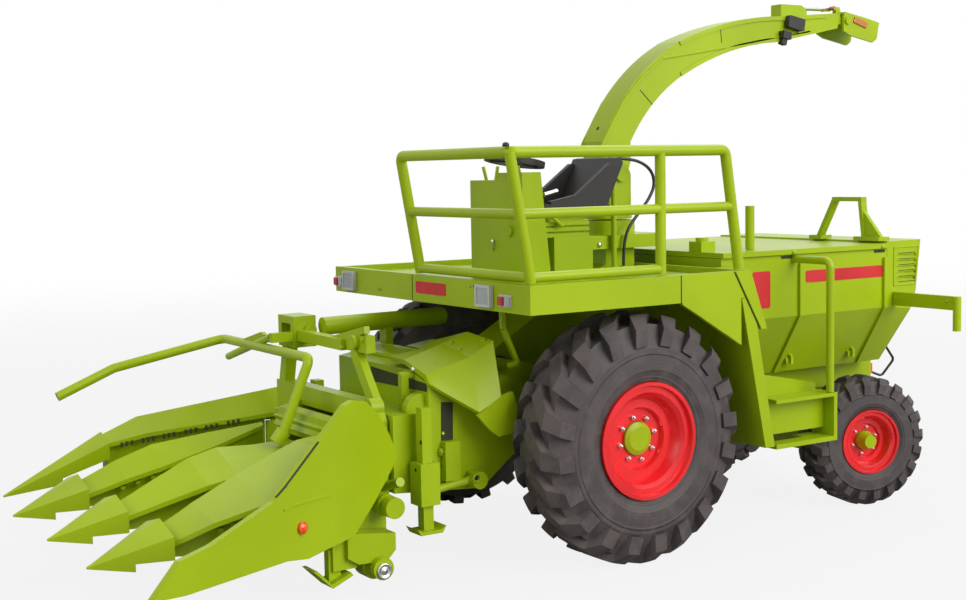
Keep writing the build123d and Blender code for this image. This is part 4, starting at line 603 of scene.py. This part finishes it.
# name, body, finish, profile, then (path, out) of each
BARS = [
    ("deck_seam", "machine", SHADOW, flat_bar(0.28, 0.04), [
        ([(-3.0, DECK_FRONT, 51.7), (-3.0, DECK_FRONT, 57.2)], FRONT)]),
    ("boom_seams", "spout", SHADOW, flat_bar(0.22, 0.05), [
        ([(s * BOOM_SIDE, ya, za), (s * BOOM_SIDE, yb, zb)], (s, 0, 0))
        for s in (1, -1) for ya, za, yb, zb in ((51.3, 111.0, 51.7, 107.0), (27.4, 95.8, 30.9, 92.6))]),
    ("boom_ribs", "spout", PAINT, flat_bar(0.55, 0.30), [
        ([(s * BOOM_SIDE, y, z) for y, z in run], (s, 0, 0)) for s in (1, -1) for run in (
            ((15.6, 81.8), (17.1, 84.7), (22.4, 93.0), (27.8, 98.6), (34.0, 103.0)),
            ((34.0, 103.0), (44.2, 104.6), (58.2, 106.9), (70.0, 109.0), (80.0, 110.6)))]),
    ("ram_rod", "spout", STEEL, round_bar(0.62, 14), [
        ([(0, 80.6, 116.6), (0, 86.0, 116.7), (0, 90.6, 116.8)], LEFT)]),
    ("ram_pin", "spout", COPPER, round_bar(0.5, 12), [
        ([(-2.2, 90.2, 116.8), (2.2, 90.2, 116.8)], TOP)]),
    ("skirt_seam", "machine", SHADOW, flat_bar(0.28, 0.04), [
        ([(SKIRT_SIDE, 7.7, 51.7), (SKIRT_SIDE, 7.7, 57.2)], LEFT),
        ([(SKIRT_SIDE, 21.7, 57.2), (SKIRT_SIDE, 28.7, 45.0)], LEFT)]),
    ("sheet_seam", "header", SHADOW, flat_bar(0.5, 0.05), [
        ([(34.9, -78.0, 23.7), (34.3, -76.0, 25.1), (33.2, -73.3, 27.2), (32.1, -70.6, 29.3),
          (31.0, -67.8, 31.5)], (0.22, -0.54, 0.81))]),
    ("louvre_frame", "machine", PAINT, flat_bar(0.34, 0.2), [
        ([(s * x, y, z) for x, y, z in run], (s, 0, 0)) for s in (1, -1) for run in (
            ((28.2, 82.4, 59.0), (28.2, 82.4, 50.2)), ((27.1, 92.1, 59.0), (27.45, 90.5, 50.2)),
            ((28.2, 82.4, 59.0), (27.7, 89.0, 59.0), (27.1, 92.1, 59.0)),
            ((28.2, 82.4, 50.2), (27.7, 89.0, 50.2), (27.45, 90.5, 50.2)))]),
    # painted shade: dark strips under the louvres' lips
    ("louvre_lip_shade", "machine", SHADOW, flat_bar(0.16, 0.05), [
        ([(s * 28.06, 84.2, z), (s * 27.7, 89.0, z), (s * 27.35, 90.8, z)], (s, 0, 0))
        for s in (1, -1) for z in LIPS]),
    ("seat_lever", "machine", STEEL, round_bar(0.42, 12), [
        ([(17.2, -8.7, 73.4), (17.2, -5.5, 74.1)], LEFT)]),
    ("sheet_fold", "header", PAINT, flat_bar(0.5, 0.16), [
        ([(34.6, -76.5, 21.2), (33.9, -74.8, 21.6), (30.0, -65.3, 21.5)], (0.93, 0.38, 0))]),
]


def bars():
    """Seams, ribs and rods, each a profile carried along its path."""
    for name, body, finish, profile, runs in BARS:
        surface(name, [carried(profile, path, out) for path, out in runs], finish, body)


FLOOR_SIZE = 6.0                        # half the floor's side, in metres
FLOOR_NEAR, FLOOR_FAR = 260.0, 900.0    # where the floor begins to pale and where it is white, in mm
FLOOR_PALE = 0.86                       # share of white in what the camera sees of the near floor
SURROUND = 0.30                         # light from all round
# name, place, what it aims at, size, power
LAMPS = [("key", (0.66, 0.26, 0.42), (0, 0.01, 0.05), 0.6, 5.7),
         ("fill", (0.05, -0.9, 0.50), (0, 0, 0.04), 0.8, 3.1),
         ("rear", (-0.3, 0.6, 0.95), (0, 0.02, 0.05), 0.9, 4.4)]


def floor():
    """Pale floor that pales to the white surround with distance."""
    f = Finish("floor_paper")
    where = f.where()
    x, y, _ = f.place(where)
    tooth = f.noise(where, 400.0, 3.0)
    paper = f.blend(tooth, (0.32, 0.32, 0.318, 1), (0.35, 0.35, 0.348, 1))
    seen = f.node("ShaderNodeLightPath", out="Is Camera Ray")
    far = f.step((x * x + y * y) ** 0.5, FLOOR_NEAR, FLOOR_FAR)
    lit = f.node("ShaderNodeBsdfPrincipled", Base_Color=paper, Roughness=0.9 + 0.05 * (tooth - 0.5))
    white = f.node("ShaderNodeEmission", Color=(1, 1, 1, 1), Strength=1.0)
    share = (FLOOR_PALE + (1.0 - FLOOR_PALE) * far) * seen
    mixed = f.node("ShaderNodeMixShader", i0=share, i1=lit, i2=white)
    f.node("ShaderNodeOutputMaterial", Surface=mixed)
    mesh = bpy.data.meshes.new("floor")
    s = FLOOR_SIZE
    mesh.from_pydata([(-s, -s, 0), (s, -s, 0), (s, s, 0), (-s, s, 0)], [], [(0, 1, 2, 3)])
    mesh.materials.append(f.material)
    sheet = bpy.data.objects.new("floor", mesh)
    bpy.context.scene.collection.objects.link(sheet)


def surround():
    """World that is white to the camera and in reflections, and a soft light to everything else."""
    world = bpy.data.worlds.new("surround")
    bpy.context.scene.world = world
    world.use_nodes = True
    tree = world.node_tree
    tree.nodes.clear()
    path = tree.nodes.new("ShaderNodeLightPath")
    camera, glossy, clear = (Signal(tree, path.outputs[f"Is {kind} Ray"])
                             for kind in ("Camera", "Glossy", "Transmission"))
    white = (camera + glossy + clear).maths("MINIMUM", 1.0)
    back = tree.nodes.new("ShaderNodeBackground")
    back.inputs["Color"].default_value = (1, 1, 1, 1)
    tree.links.new((SURROUND + (1.0 - SURROUND) * white).socket, back.inputs["Strength"])
    out = tree.nodes.new("ShaderNodeOutputWorld")
    tree.links.new(back.outputs[0], out.inputs["Surface"])


def lamps():
    """Three broad lamps, each turned to what it aims at."""
    for name, place, aim, size, power in LAMPS:
        lamp = bpy.data.lights.new(name, "AREA")
        lamp.size, lamp.energy = size, power
        holder = bpy.data.objects.new(name, lamp)
        bpy.context.scene.collection.objects.link(holder)
        look = (Vector(aim) - Vector(place)).to_track_quat("-Z", "Y").to_matrix().to_4x4()
        holder.matrix_world = Matrix.Translation(Vector(place)) @ look


spout_hose()
dress_nodes()
wheel_nuts()
studs()
plates()
bars()
floor()
surround()
lamps()
bpy.context.scene.view_settings.view_transform = "Standard"
